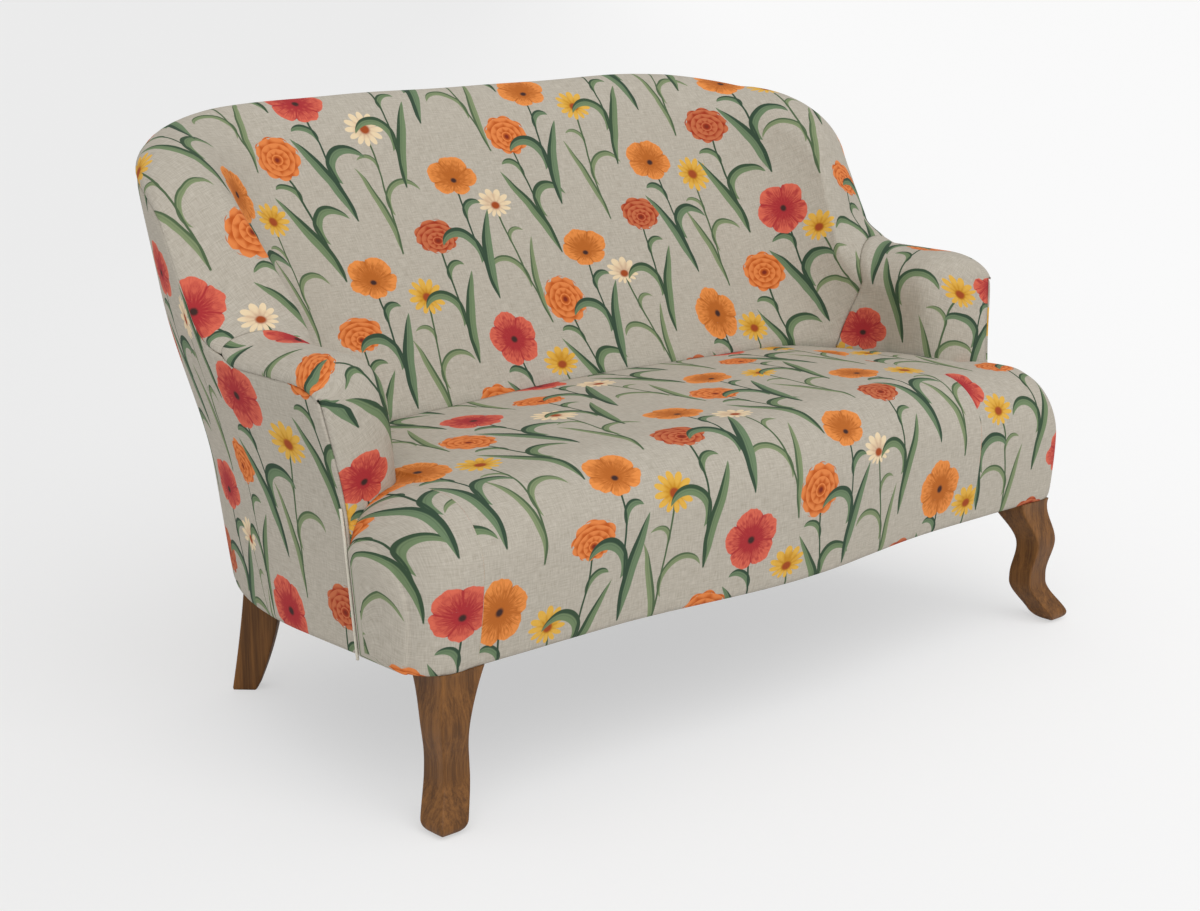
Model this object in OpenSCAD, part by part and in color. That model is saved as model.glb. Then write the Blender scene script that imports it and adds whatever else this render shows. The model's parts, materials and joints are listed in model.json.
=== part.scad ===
// Compact tub-back sofa with a tight T-shaped seat, low scooped arms, winged back,
// cabriole front legs and sabre rear legs. Front faces -Y, floor at z = 0, millimetres.

/* [Body] */
// Width over the outside of the arms at the underside
body_w = 1358; // [1280:2:1600]
// Depth from the belly of the seat front to the top of the back
body_d = 818; // [800:2:860]
// Height of the crown of the back
back_h = 887; // [870:1:930]
// Height of the underside above the floor
under_h = 213; // [195:1:225]
// Height of the arm tops
arm_h = 603; // [590:1:620]
// Height of the crown of the seat
seat_h = 457; // [445:1:475]
// Depth of the back at the seat, from the foot of the inside back to the rear of the crest
back_d = 329; // [308:1:348]
// Depth of the seat in front of the arms
ear_d = 184; // [165:1:200]
// Width of each arm at the seat
arm_w = 117; // [112:1:130]

/* [Curves] */
// Forward bow of the middle of the front edge
front_bow = 30; // [10:1:45]
// Half length of the bowed stretch
bow_run = 364; // [300:2:420]
// Belly of the seat front beyond its lower edge
belly = 16; // [8:1:22]
// Radius of the roll along the front of the seat
nose_r = 92; // [70:1:105]
// Plan radius of the front corners
corner_r = 64; // [50:1:80]
// Drop of the seat crown at its ends
seat_fall = 28; // [15:1:35]
// Outward flare of the arms
arm_flare = 33; // [20:1:45]
// Height where the flare starts
flare_z = 380; // [340:2:420]
// Height over which the arms flare
flare_run = 260; // [220:2:300]
// Further flare of the wings
wing_flare = 8; // [0:1:16]
// Backward lean of the outside back, per unit of height
rear_rake = 0.166; // [0.12:0.002:0.2]
// Depth of the back where its inside face meets the roll at the top
top_d = 93.4; // [84:0.2:104]
// Backward lean of the arm fronts, per unit of height
arm_lean = 0.1355; // [0.1:0.002:0.17]
// Side reach of the rear corner curve at the underside
corner_x = 250; // [220:2:280]
// Depth of the rear corner curve at the underside
corner_y = 400; // [370:2:420]
// Drop of the back's top line from its middle to its corners
crown_fall = 41; // [25:1:55]

/* [Upholstery] */
// Thickness of the inside back padding at the seat
back_pad = 55; // [48:1:62]
// Thickness of the inside arm padding
arm_pad = 62; // [58:1:66]
// Padding over the crest of the back and the arms
top_pad = 36; // [30:1:42]
// Padding over the front of the arms
face_pad = 35; // [30:1:42]
// Thickness of the seat front below the roll
apron = 26; // [22:1:30]
// Thickness of the outside panels
panel_t = 5; // [4:0.5:7]
// Diameter of the piping at the front seams
piping_d = 4.6; // [3:0.2:6]
// Thickness of the cloth under the frame
dust_t = 1.2; // [0.8:0.1:2]

/* [Frame] */
// Thickness of the seat rails
rail_t = 28; // [26:1:32]
// Thickness of the side rails, which also carry the arm boards
side_t = 50; // [46:1:52]
// Height of the seat rails
rail_h = 80; // [70:1:90]
// Thickness of the shaped boards
board_t = 24; // [20:1:26]
// Height of the rail along the top of the back
crest_rail_h = 86; // [80:1:92]
// Height of the rail at the foot of the back
stay_h = 50; // [40:1:60]
// Number of seat springs
springs = 8; // [6:1:10]
// Width of each seat spring
spring_w = 46; // [38:1:54]
// Wire of the seat springs
wire_d = 3.8; // [3:0.1:4.5]
// Rise of the springs above the rails
spring_rise = 22; // [14:1:28]
// Number of webbing straps behind the back
straps = 6; // [4:1:8]
// Width of each strap
strap_w = 50; // [40:1:70]

/* [Legs] */
// Distance of the front toes from the middle
toe_x = 659; // [640:1:664]
// Distance of the front toes behind the seat's belly
toe_back = 36; // [30:1:44]
// Side of the front leg at its top
knee_w = 73; // [66:1:78]
// Side of the front leg at its ankle
ankle_w = 44; // [40:1:48]
// Side of the front leg at its foot
toe_w = 47; // [42:1:52]
// Inward set of the front leg's top from its toe
leg_set = 58; // [52:1:64]
// Width of the rear leg at its top
sabre_top = 58; // [50:1:62]
// Width of the rear leg at its foot
sabre_foot = 38; // [32:1:44]
// Thickness of the rear legs
sabre_t = 36; // [32:1:38]
// Outward kick of the rear feet
sabre_kick = 27; // [18:1:34]
// Diameter of the leg bolts
bolt_d = 8; // [6:1:10]

/* [Hidden] */

linen = [0.77, 0.74, 0.67];
beech = [0.80, 0.66, 0.48];
oak = [0.50, 0.34, 0.20];
steel = [0.62, 0.63, 0.65];
calico = [0.16, 0.16, 0.17];
jute = [0.66, 0.54, 0.36];

// Clearances between neighbouring pieces
gap = 0.4;
seat_gap = 0.3;
foot_gap = 0.6;
hide_t = panel_t + 1;
lip = 4;
tuck = 3;

// Main planes
y_front = -body_d/2;
y_rear = body_d/2;
half_w = body_w/2;
seam_drop_back = 55;
seam_drop_arm = 32;
roll_back = 70;
roll_arm = 72;
seam_z = back_h - seam_drop_back;
join_z = seat_h - 16;
rail_z0 = under_h + dust_t + seat_gap;
rail_z1 = rail_z0 + rail_h;

// Springs lie in folded clips on the rails, the cover lies on both, the seat on the cover
clip_t = 1.2;
cover_t = 2;
wire_z = rail_z1 + clip_t + 2*seat_gap + wire_d/2;
cover_z0 = rail_z1 + 2*clip_t + wire_d + 4*seat_gap;
seat_floor = cover_z0 + spring_rise + cover_t + seat_gap;

function ease(t) = let (c = min(1, max(0, t))) c*c*(3 - 2*c);
function mix(a, b, t) = a + (b - a)*t;
function span(a, b, n) = [for (i = [0:n]) a + (b - a)*i/n];

// Outside of the body: half width, rear face and rear corner curve at height z
wing_run = 220;
function out_w(z) = half_w + arm_flare*ease((z - flare_z)/flare_run)
    + wing_flare*ease((z - arm_h)/wing_run);
function out_y(z) = y_rear - rear_rake*(seam_z - z);
function cor_x(z) = corner_x - 0.06*(z - under_h);
function cor_y(z) = corner_y - 0.2*(z - under_h);

// Inside of the arms and back at height z; the inside back leans from its foot to the roll
inner_w0 = half_w - arm_w;
in_cx = 125;
in_cy = 150;
in_spread = 50;
in_start = 33;
in_run = 230;
back_foot = y_rear - back_d;
roll_z0 = back_h - roll_back;
seat_rake = (out_y(roll_z0) - top_d - back_foot)/(roll_z0 - join_z);
in_open_x = 0.18;
in_open_y = 0.22;
function in_w(z) = inner_w0 + in_spread*ease((z - arm_h + in_start)/in_run);
function in_y(z) = back_foot + seat_rake*max(0, z - join_z);

// Front of the arms: the outer edge, and the start of the rounded end
cap_r = 60;
cap_n = 2.6;
function arm_y(z) = y_front + ear_d + arm_lean*(z - under_h);

// Plan point at u: 0 to 1 along the back, 1 to 2 round the corner, 2 to 3 along the arm
function plan(u, a, b, rx, ry, ye) = let (t = 90*min(1, max(0, u - 1)))
    u < 1 ? [(a - rx)*u, b] :
    u < 2 ? [a - rx + rx*sin(t), b - ry + ry*cos(t)] :
    [a, mix(b - ry, ye, u - 2)];
function out_p(u, z, off) = let (m = abs(u), p = plan(m, out_w(z) - off, out_y(z) - off,
    cor_x(z) - off, cor_y(z) - off, arm_y(z) + cap_r)) [sign(u)*p[0], p[1]];
function in_p(u, z, off, back_off) = let (m = abs(u), p = plan(m, in_w(z) + off,
    in_y(z) + back_off, in_cx + in_open_x*max(0, z - join_z) + off,
    in_cy + in_open_y*max(0, z - join_z) + back_off, arm_y(z) + cap_r)) [sign(u)*p[0], p[1]];

// Height of the crest along u: crown, wing corner, steep wing front, scoop, flat arm
wing_u0 = 1.45;
wing_u1 = 1.85;
wing_u2 = 1.90;
scoop_u = 2.18;
wing_fall = 95;
scoop_rise = 55;
crown_flat = 0.72;
crown_run = 0.88;
corner_z = back_h - crown_fall*pow((wing_u0 - crown_flat)/crown_run, 2);
function crest(m) =
    m < wing_u0 ? back_h - crown_fall*pow(max(0, m - crown_flat)/crown_run, 2) :
    m < wing_u1 ? corner_z - wing_fall*(1 - sqrt(1 - pow((m - wing_u0)/(wing_u1 - wing_u0), 2))) :
    m < wing_u2 ? mix(corner_z - wing_fall, arm_h + scoop_rise, (m - wing_u1)/(wing_u2 - wing_u1)) :
    m < scoop_u ? arm_h + scoop_rise*(1 - sqrt(1 - pow((scoop_u - m)/(scoop_u - wing_u2), 2))) :
    arm_h;
function wingness(m) = ease((m - 1.5)/0.6);
function out_drop(m) = mix(seam_drop_back, seam_drop_arm, wingness(m));
function in_drop(m) = mix(roll_back, roll_arm, wingness(m));
function seam(m) = crest(m) - out_drop(m);

// Nose of the arm: fall of the seam round the front, set-in of each row of the roll there, and how much
// lower the outside panel ends at the very front
nose_fall = 22;
nose_set = 0.25;
nose_gap = 3.4;
nose_round = 0.96;
function nose(f) = nose_fall*(1 - sqrt(1 - nose_round*f*f));

// Section through the padding at crest station s, from the outer seam (v = 0) over the
// crest to the foot of the inside face. The lower part slides to station low.
roll_n = 8;
face_n = 8;
pad_foot = seat_floor;
face_k = 5/face_n;
function v_roll(j) = 180*min(1, j/roll_n);
function v_face(j) = max(0, (j - roll_n)/face_n);
function pad_z(top, j) = let (k = v_face(j)) k < face_k ? mix(top, join_z, k/face_k)
    : mix(join_z, pad_foot, (k - face_k)/(1 - face_k));
function pad_u(s, low, j) = mix(s, low, ease(min(1, 0.25*v_roll(j)/180 + 0.75*v_face(j))));
function pad_v(s, low, j, w, dy) = let (m = abs(s), u = pad_u(s, low, j), p = v_roll(j),
    h = crest(m), side = p < 90 ? out_drop(m) : in_drop(m),
    top = h - side*(1 - sin(p)), z = pad_z(top, j),
    k = (1 - cos(p))/2*w, a = out_p(u, z, 0), b = in_p(u, z, 0, 0))
    [mix(a[0], b[0], k), mix(a[1], b[1], k) + dy, z];
pad_thin = 0.04;
arm_thin = 22;
function frame_y(z) = back_foot + back_pad + (seat_rake - pad_thin)*max(0, z - join_z);
function pad_h(s, low, j, w, dy) = let (m = abs(s), u = pad_u(s, low, j), p = v_roll(j),
    h = crest(m), lid = min(h, crest(m + 0.09)) - top_pad,
    base = j == 0 ? seam(m) : p < 90 ? min(seam(m), lid + lip) : min(h, crest(m + 0.09)) - in_drop(m),
    top = mix(base, lid, min(1, 2.2*sin(p))), z = pad_z(top, j),
    k = (1 - cos(p))/2*w, a = out_p(u, z, hide_t),
    b = in_p(u, z, mix(arm_pad - arm_thin, arm_pad, wingness(abs(u)*1.1)), frame_y(z) - in_y(z)))
    [mix(a[0], b[0], k), mix(a[1], b[1], k) + dy, z];

// Closed skin between a shown grid v and a hidden grid h of the same size
module skin(v, h) {
    n = len(v);
    m = len(v[0]);
    pts = [for (g = [v, h]) for (row = g) for (p = row) p];
    function id(g, i, j) = g*n*m + i*m + j;
    quads = concat(
        [for (i = [0:n - 2]) for (j = [0:m - 2])
            [id(0, i, j), id(0, i + 1, j), id(0, i + 1, j + 1), id(0, i, j + 1)]],
        [for (i = [0:n - 2]) for (j = [0:m - 2])
            [id(1, i, j + 1), id(1, i + 1, j + 1), id(1, i + 1, j), id(1, i, j)]],
        [for (i = [0:n - 2]) [id(0, i + 1, 0), id(0, i, 0), id(1, i, 0), id(1, i + 1, 0)]],
        [for (i = [0:n - 2])
            [id(0, i, m - 1), id(0, i + 1, m - 1), id(1, i + 1, m - 1), id(1, i, m - 1)]],
        [for (j = [0:m - 2]) [id(0, 0, j + 1), id(1, 0, j + 1), id(1, 0, j), id(0, 0, j)]],
        [for (j = [0:m - 2])
            [id(0, n - 1, j + 1), id(0, n - 1, j), id(1, n - 1, j), id(1, n - 1, j + 1)]]);
    tris = [for (q = quads) for (t = [[q[0], q[1], q[2]], [q[0], q[2], q[3]]]) t];
    polyhedron(points = pts, faces = tris, convexity = 8);
}

// Loft through convex rings, closed by a fan at each end
module loft(rings) {
    n = len(rings);
    m = len(rings[0]);
    pts = [for (r = rings) for (p = r) p];
    sides = [for (i = [0:n - 2]) for (j = [0:m - 1]) let (k = (j + 1)%m)
        for (t = [[i*m + j, (i + 1)*m + k, i*m + k], [i*m + j, (i + 1)*m + j, (i + 1)*m + k]]) t];
    ends = concat([for (j = [1:m - 2]) [0, j, j + 1]],
        [for (j = [1:m - 2]) [(n - 1)*m, (n - 1)*m + j + 1, (n - 1)*m + j]]);
    polyhedron(points = pts, faces = concat(sides, ends), convexity = 6);
}

module pair(side) {
    if (side < 0) mirror([1, 0, 0]) children();
    else children();
}

// Station where the wing's cloth meets the arm's cloth, at the crest and at the seat
join_top = 2.0;
join_low = 1.5;
join_slit = 0.0012;

// Stations shared by the padding and the outside panels, so that their seams meet
back_us = span(0, 1, 3);
wing_us = [1.12, 1.25, 1.37, 1.47, 1.56, 1.64, 1.71, 1.77, 1.81, 1.85, 1.88, 1.91, 1.95];
arm_us = [2.03, 2.07, 2.12, 2.18, 2.25, 2.32, 2.6, 2.8, 3];
cap_turns = [24, 42, 56, 67, 76, 84, 90];

module inside_back_pad() {
    half = concat(back_us, wing_us, [join_top - join_slit]);
    full = concat([for (i = [len(half) - 1:-1:1]) -half[i]], half);
    low = (join_low - join_slit)/(join_top - join_slit);
    js = [0:roll_n + face_n];
    v = [for (s = full) [for (j = js) pad_v(s, s*low, j, 1, 0)]];
    h = [for (s = full) [for (j = js) pad_h(s, s*low, j, 1, 0)]];
    color(linen) skin(v, h);
}

// Rounded end of the arm: at angle t the section narrows by w and moves forward by f
function cap_w(t) = pow(max(0, cos(t)), 2/cap_n);
function cap_f(t) = pow(sin(t), 2/cap_n);
thin = hide_t/arm_w;

module inside_arm_pad(side) {
    along = concat([join_top + join_slit], arm_us);
    js = [0:roll_n + face_n];
    function low_u(s) = mix(join_low + join_slit, 3, (s - join_top)/(3 - join_top));
    v = concat([for (s = along) [for (j = js) pad_v(s, low_u(s), j, 1, 0)]],
        [for (t = cap_turns) [for (j = js) let (w = mix(thin, 1, cap_w(t)),
            p = pad_v(3, 3, j, w, -cap_r*cap_f(t)),
            z = v_face(j) > 0 ? p[2] : mix(seam(3), p[2], mix(0.1, 1, w)) - nose(cap_f(t)))
            [min(p[0] + out_w(z) - out_w(p[2]), out_w(seam(3) - nose(cap_f(t))) - j*nose_set),
                p[1] + arm_lean*(z - p[2]), z]]]);
    h = concat([for (s = along) [for (j = js) pad_h(s, low_u(s), j, 1, 0)]],
        [for (t = cap_turns) [for (j = js) let (w = mix(0.08, 1, cap_w(t)),
            p = pad_h(3, 3, j, w, (face_pad - cap_r)*cap_f(t)))
            [p[0], p[1], j < roll_n/2 ? max(p[2], seam(3)) : p[2]]]]);
    color(linen) pair(side) skin(v, h);
}

// Flat covered panels on the outside, from the underside to the outer seam
panel_split = 0.985;
panel_n = 7;
function panel_pt(u, k, off, ye) = let (f = max(0, u - 3),
    z = mix(under_h, seam(min(3, abs(u))) - nose(f) - seat_gap - nose_gap*f, k), p = out_p(min(u, 3), z, off))
    [p[0], u > 3 ? arm_y(z) + ye + (cap_r - ye)*(1 - f) : p[1], z];

module outside_back_panel() {
    us = [-panel_split, -back_us[2], -back_us[1], 0, back_us[1], back_us[2], panel_split];
    v = [for (u = us) [for (k = span(0, 1, panel_n)) panel_pt(u, k, 0, 0)]];
    h = [for (u = us) [for (k = span(0, 1, panel_n)) panel_pt(u, k, panel_t, 0)]];
    color(linen) skin(v, h);
}

module outside_arm_panel(side) {
    us = concat([panel_split + 0.001], wing_us, [join_top], arm_us, [for (t = cap_turns) 3 + cap_f(t)]);
    v = [for (u = us) [for (k = span(0, 1, panel_n)) panel_pt(u, k, 0, gap)]];
    h = [for (u = us) [for (k = span(0, 1, panel_n)) panel_pt(u, k, panel_t, gap)]];
    color(linen) pair(side) skin(v, h);
}

// Front line of the body at the underside, and the springs' rise under the seat
function corner_in(x) = let (e = max(0, abs(x) - half_w + corner_r))
    corner_r - sqrt(max(0, corner_r*corner_r - e*e));
function front_y(x) = y_front + belly + corner_in(x)
    + front_bow*(0.5 - 0.5*cos(180*min(1, abs(x)/bow_run)));
function rail_front(x) = front_y(x) + apron + gap;
spring_y1 = back_foot + back_pad;
function spring_y0(x) = rail_front(x) + rail_t/2;
function spring_k(x, y) = (y - spring_y0(x))/(spring_y1 - spring_y0(x));
function rise(x, y) = let (k = min(1, max(0, spring_k(x, y)))) spring_rise*sin(180*k);

// Seat: sections across the width, from the foot of the back over the roll to the hem
seat_top_n = 4;
seat_roll_n = 6;
seat_face_n = 3;
ear_r = 80;
crown_dip = 12;
tip_w = 2.5;
ear_out = 9;
ear_in = 42;
function seat_back_y(x, z) = let (a = out_w(z) - inner_w0,
    e = max(0, (abs(x) - inner_w0 + in_cx)/in_cx),
    w = min(1, max(0, ((out_w(z) - abs(x))/a - thin)/(1 - thin))))
    abs(x) < inner_w0 - 0.2 ? in_y(join_z) - in_cy*(1 - sqrt(1 - e*e)) - foot_gap - tuck*e :
    arm_y(z) + cap_r - cap_r*pow(1 - pow(w, cap_n), 1/cap_n) - 2*gap;
function seat_crown(x) = let (e = min(1, max(0, (abs(x) - half_w + ear_r)/ear_r)))
    seat_h - seat_fall*pow(x/half_w, 2) - ear_r*(1 - sqrt(1 - 0.98*e*e));
function seat_v(x, j, inset) = let (
    c = seat_crown(x) - inset, f = front_y(min(half_w - 1, abs(x))) - belly + inset,
    yb = seat_back_y(x, c - crown_dip) - inset*0.6,
    r = min(nose_r, 0.8*(yb - f)),
    a = min(1, j/seat_top_n), b = 90*min(1, max(0, (j - seat_top_n)/seat_roll_n)),
    k = max(0, (j - seat_top_n - seat_roll_n)/seat_face_n),
    y0 = mix(yb, f + r, a) - r*sin(b),
    z0 = c - crown_dip*pow(1 - a, 3) - r*(1 - cos(b)),
    hem = under_h + inset)
    [x, y0 + belly*pow(k, 1.6), mix(z0, hem, k)];
function seat_hid(x, j) = let (f = front_y(min(half_w - 1, abs(x))) + apron,
    lid = seat_top_n + seat_roll_n, k = max(0, (j - lid)/seat_face_n))
    [x, mix(seat_back_y(x, seat_floor), f, min(1, j/lid)), mix(seat_floor, under_h, k)];

// Stations across the half seat: middle, inside corner, step beside the arm, ear, front corner
bend_x0 = inner_w0 - in_cx;
seat_xs = concat(span(0, bend_x0, 4), [for (t = [24, 46, 64, 79]) bend_x0 + (in_cx - 1.2)*sin(t)],
    [inner_w0 - 1.2, inner_w0 - 0.1],
    [for (i = [0:3]) half_w - arm_w*mix(thin, 1, cap_w(cap_turns[i]))],
    [for (e = [0.42, 0.68, 0.9]) half_w - corner_r*(1 - e)]);

module seat_pad() {
    edge = half_w - tip_w;
    tips = [for (t = [0, 32, 58, 90]) [edge + (tip_w + ear_out)*sin(t), ear_in*pow(1 - cos(t), 1.15)]];
    last = seat_top_n + seat_roll_n + seat_face_n;
    js = [0:last];
    right_v = concat([for (x = seat_xs) [for (j = js) seat_v(x, j, 0)]],
        [for (t = tips) [for (j = js) let (p = seat_v(edge, j, t[1])) [t[0], p[1], p[2]]]]);
    right_h = concat([for (x = seat_xs) [for (j = js) seat_hid(x, j)]],
        [for (t = tips) [for (j = js) let (
            e = seat_v(edge, last, t[1]), a = j/last)
            [t[0], mix(seat_back_y(edge, e[2]) - t[1]*0.6, e[1] + 1, a), e[2] + gap*(1 - a)]]]);
    n = len(right_v);
    v = concat([for (i = [n - 1:-1:1]) [for (p = right_v[i]) [-p[0], p[1], p[2]]]], right_v);
    h = concat([for (i = [n - 1:-1:1]) [for (p = right_h[i]) [-p[0], p[1], p[2]]]], right_h);
    color(linen) skin(v, h);
}

// Piping in the seam between the seat's ear and the outside of the arm
piping_hang = 5;
piping_short = 30;
module front_piping(side) {
    r = piping_d/2;
    top = join_z - piping_short;
    rings = [for (k = span(0, 1, 8)) let (z = mix(under_h - piping_hang, top, k),
        c = [out_w(z) + r + 2*seat_gap, arm_y(z) + r - seat_gap])
        [for (a = [0:5]) [c[0] + r*cos(60*a), c[1] + r*sin(60*a), z]]];
    color(linen) pair(side) loft(rings);
}

// Rail outline following the rear corner, at offsets a and b inside the outer face
function bend(z, off, n) = [for (t = span(0, 90, n))
    [out_w(z) - cor_x(z) + (cor_x(z) - off)*cos(t), out_y(z) - cor_y(z) + (cor_y(z) - off)*sin(t)]];
function bend_x(y, z, off) = out_w(z) - cor_x(z) + (cor_x(z) - off)
    *sqrt(1 - pow(max(0, y - out_y(z) + cor_y(z))/(cor_y(z) - off), 2));
rail_off = panel_t + 2;
rear_x = out_w(rail_z0) - cor_x(rail_z0);
rear_in_y = out_y(rail_z0) - panel_t - gap - rail_t;

module side_seat_rail(side) {
    front = rail_front(half_w - rail_off) + rail_t + seat_gap;
    outer = bend(rail_z0, rail_off, 24);
    inner = bend(rail_z0, rail_off + side_t, 24);
    b = rear_bolt();
    color(beech) pair(side) difference() {
        translate([0, 0, rail_z0]) linear_extrude(rail_h)
            polygon(concat([[outer[0][0], front]], outer, [for (i = [24:-1:0]) inner[i]],
                [[inner[0][0], front]]));
        translate([b[0], b[1], rail_z0 - 1]) bolt_hole();
    }
}

module rear_seat_rail() {
    color(beech) translate([-rear_x + seat_gap, rear_in_y, rail_z0])
        cube([2*(rear_x - seat_gap), rail_t, rail_h]);
}

module front_seat_rail() {
    n = len(seat_xs);
    xs = concat([for (i = [n - 1:-1:1]) -seat_xs[i]], seat_xs);
    legs = front_bolt();
    color(beech) difference() {
        translate([0, 0, rail_z0]) linear_extrude(rail_h) polygon(concat(
            [for (x = xs) [x, rail_front(x)]],
            [for (i = [len(xs) - 1:-1:0]) [xs[i], rail_front(xs[i]) + rail_t]]));
        for (s = [-1, 1]) translate([s*legs[0], legs[1], rail_z0 - 1]) bolt_hole();
    }
}

rail_in = half_w - rail_off - side_t;
module spring_rail() {
    ys = [spring_y1 - rail_t/2, spring_y1 + rail_t/2];
    xs = [for (y = ys) bend_x(y, rail_z0, rail_off + side_t) - seat_gap - 0.2];
    color(beech) translate([0, 0, rail_z0]) linear_extrude(rail_h)
        polygon([[-xs[0], ys[0]], [xs[0], ys[0]], [xs[1], ys[1]], [-xs[1], ys[1]]]);
}

// Two cross members under the springs
module seat_braces() {
    color(beech) for (s = [-1, 1]) {
        x = s*half_w/3;
        y0 = rail_front(abs(x) + rail_t/2) + rail_t + seat_gap;
        translate([x - rail_t/2, y0, rail_z0])
            cube([rail_t, spring_y1 - rail_t/2 - seat_gap - y0, rail_h/2]);
    }
}

block_h = 38;
block_w = 96;
block_d = 42;
block_end = 46;
module front_corner_blocks() {
    color(beech) for (s = [-1, 1]) pair(s) {
        x = rail_in - seat_gap;
        y = rail_front(x) + rail_t + seat_gap;
        translate([0, 0, rail_z0]) linear_extrude(block_h)
            polygon([[x, y + 1], [x, y + block_w], [x - block_w, y + 1]]);
    }
}

module rear_corner_blocks() {
    x = rear_x - seat_gap;
    y = rear_in_y - seat_gap;
    color(beech) for (s = [-1, 1]) pair(s) translate([0, 0, rail_z0]) linear_extrude(block_h)
        polygon([[x - block_w, y], [x, y], [x, y - block_d], [x - block_w + block_end, y - block_d]]);
}

// Arm frame: an upright board, a post at its front and a wide board along the top
top_t = 29;
arm_lid = arm_h - top_pad - 1;
board_x = inner_w0 + arm_pad + 2*gap;
board_z1 = arm_lid - top_t - seat_gap;
board_back = 339;
top_back = 244;
board_end = y_rear - board_back;
top_end = y_rear - top_back;
post_d = 55;
hole_rim_y = 43;
hole_rim_z = 66;

module arm_board(side) {
    y0 = cap_r + 1;
    mid = (rail_z1 + board_z1)/2;
    start = arm_y(mid) + y0;
    color(beech) pair(side) translate([board_x + board_t, 0, 0]) rotate([0, -90, 0])
        linear_extrude(board_t) difference() {
            polygon([[rail_z1 + seat_gap, arm_y(rail_z1) + y0], [board_z1, arm_y(board_z1) + y0],
                [board_z1, board_end], [rail_z1 + seat_gap, board_end]]);
            translate([mid, (start + board_end)/2])
                square([board_z1 - rail_z1 - 2*hole_rim_z, board_end - start - 2*hole_rim_y], center = true);
        }
}

module arm_front_post(side) {
    x0 = board_x + board_t + seat_gap;
    x1 = half_w - hide_t - gap;
    f = face_pad + 3;
    color(beech) pair(side) translate([x1, 0, 0]) rotate([0, -90, 0]) linear_extrude(x1 - x0)
        polygon([[rail_z1 + seat_gap, arm_y(rail_z1) + f], [board_z1, arm_y(board_z1) + f],
            [board_z1, arm_y(board_z1) + f + post_d], [rail_z1 + seat_gap, arm_y(rail_z1) + f + post_d]]);
}

module arm_top_board(side) {
    z0 = board_z1 + seat_gap;
    off = hide_t + gap + 1;
    y0 = arm_y(arm_lid) + face_pad + 2;
    color(beech) pair(side) translate([0, 0, z0]) linear_extrude(top_t)
        polygon(concat([[board_x + board_t/2, y0 + cap_r - face_pad], [board_x + top_t, y0 + lip],
            [out_w(z0) - off, y0]], [for (y = span(0, top_end, 5)) [bend_x(y, z0, off), y]],
            [[board_x + board_t/2, top_end]]));
}

// Wing frame: an upright board behind the wing's front edge and a curved rail above it
wing_t = 22;
wing_x = half_w - arm_flare;
wing_foot = arm_lid + seat_gap;
wing_rail_h = 26;
wing_rail_t = 34;
wing_rail_n = 12;
wing_rail_first = 4;
wing_lid = crest(2 - wing_rail_first/wing_rail_n + 0.09) - top_pad - wing_rail_h - seat_gap;
wing_head = mix(wing_foot, wing_lid, 0.88);
wing_low_u = 1.802;
wing_high_u = 1.726;
wing_low_d = 29;
wing_high_d = 36;
module wing_board(side) {
    low = out_p(wing_low_u, wing_foot, hide_t)[1];
    high = out_p(wing_high_u, wing_head, hide_t)[1];
    color(beech) pair(side) translate([wing_x + wing_t, 0, 0]) rotate([0, -90, 0])
        linear_extrude(wing_t) polygon([[wing_foot, low], [wing_foot, low + wing_low_d],
            [wing_head, high + wing_high_d], [wing_head, high]]);
}

module wing_rail(side) {
    z0 = wing_head + seat_gap;
    outer = bend(z0, hide_t + gap, wing_rail_n);
    inner = bend(z0, hide_t + gap + wing_rail_t, wing_rail_n);
    color(beech) pair(side) translate([0, 0, z0]) linear_extrude(wing_rail_h)
        polygon(concat([for (i = [wing_rail_first:wing_rail_n]) outer[i]],
            [for (i = [wing_rail_n:-1:wing_rail_first]) inner[i]]));
}

// Back frame: shaped formers on the seat rails, a stay rail in their notches and a top rail
strap_t = 1.6;
function face_y(z) = frame_y(z) + gap + strap_t + seat_gap;
function wall_y(z) = out_y(z) - hide_t - gap;
crest_u = 1.24;
crest_z1 = crest(crest_u) - top_pad;
crest_z0 = crest_z1 - crest_rail_h;
roll_z = crest(1) - roll_back - 2;
stay_z0 = join_z + 6;
crest_slope_out = 18;
crest_slope_in = 26;
former_hole = 70;
former_eye = 64;
former_eye_up = 60;
crest_x = out_w(crest_z0) - cor_x(crest_z0) - 2;

module back_top_rail() {
    color(beech) translate([-crest_x, 0, 0]) rotate([90, 0, 90]) linear_extrude(2*crest_x)
        polygon([[face_y(crest_z0), crest_z0], [wall_y(crest_z0), crest_z0],
            [wall_y(seam(1) - lip), seam(1) - lip], [wall_y(crest_z1) - crest_slope_out, crest_z1],
            [face_y(roll_z) + crest_slope_in, crest_z1], [face_y(roll_z), roll_z]]);
}

module back_stay_rail() {
    color(beech) translate([-crest_x, 0, 0]) rotate([90, 0, 90]) linear_extrude(2*crest_x)
        polygon([[face_y(stay_z0), stay_z0], [face_y(stay_z0) + rail_t, stay_z0],
            [face_y(stay_z0 + stay_h) + rail_t, stay_z0 + stay_h],
            [face_y(stay_z0 + stay_h), stay_z0 + stay_h]]);
}

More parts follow.
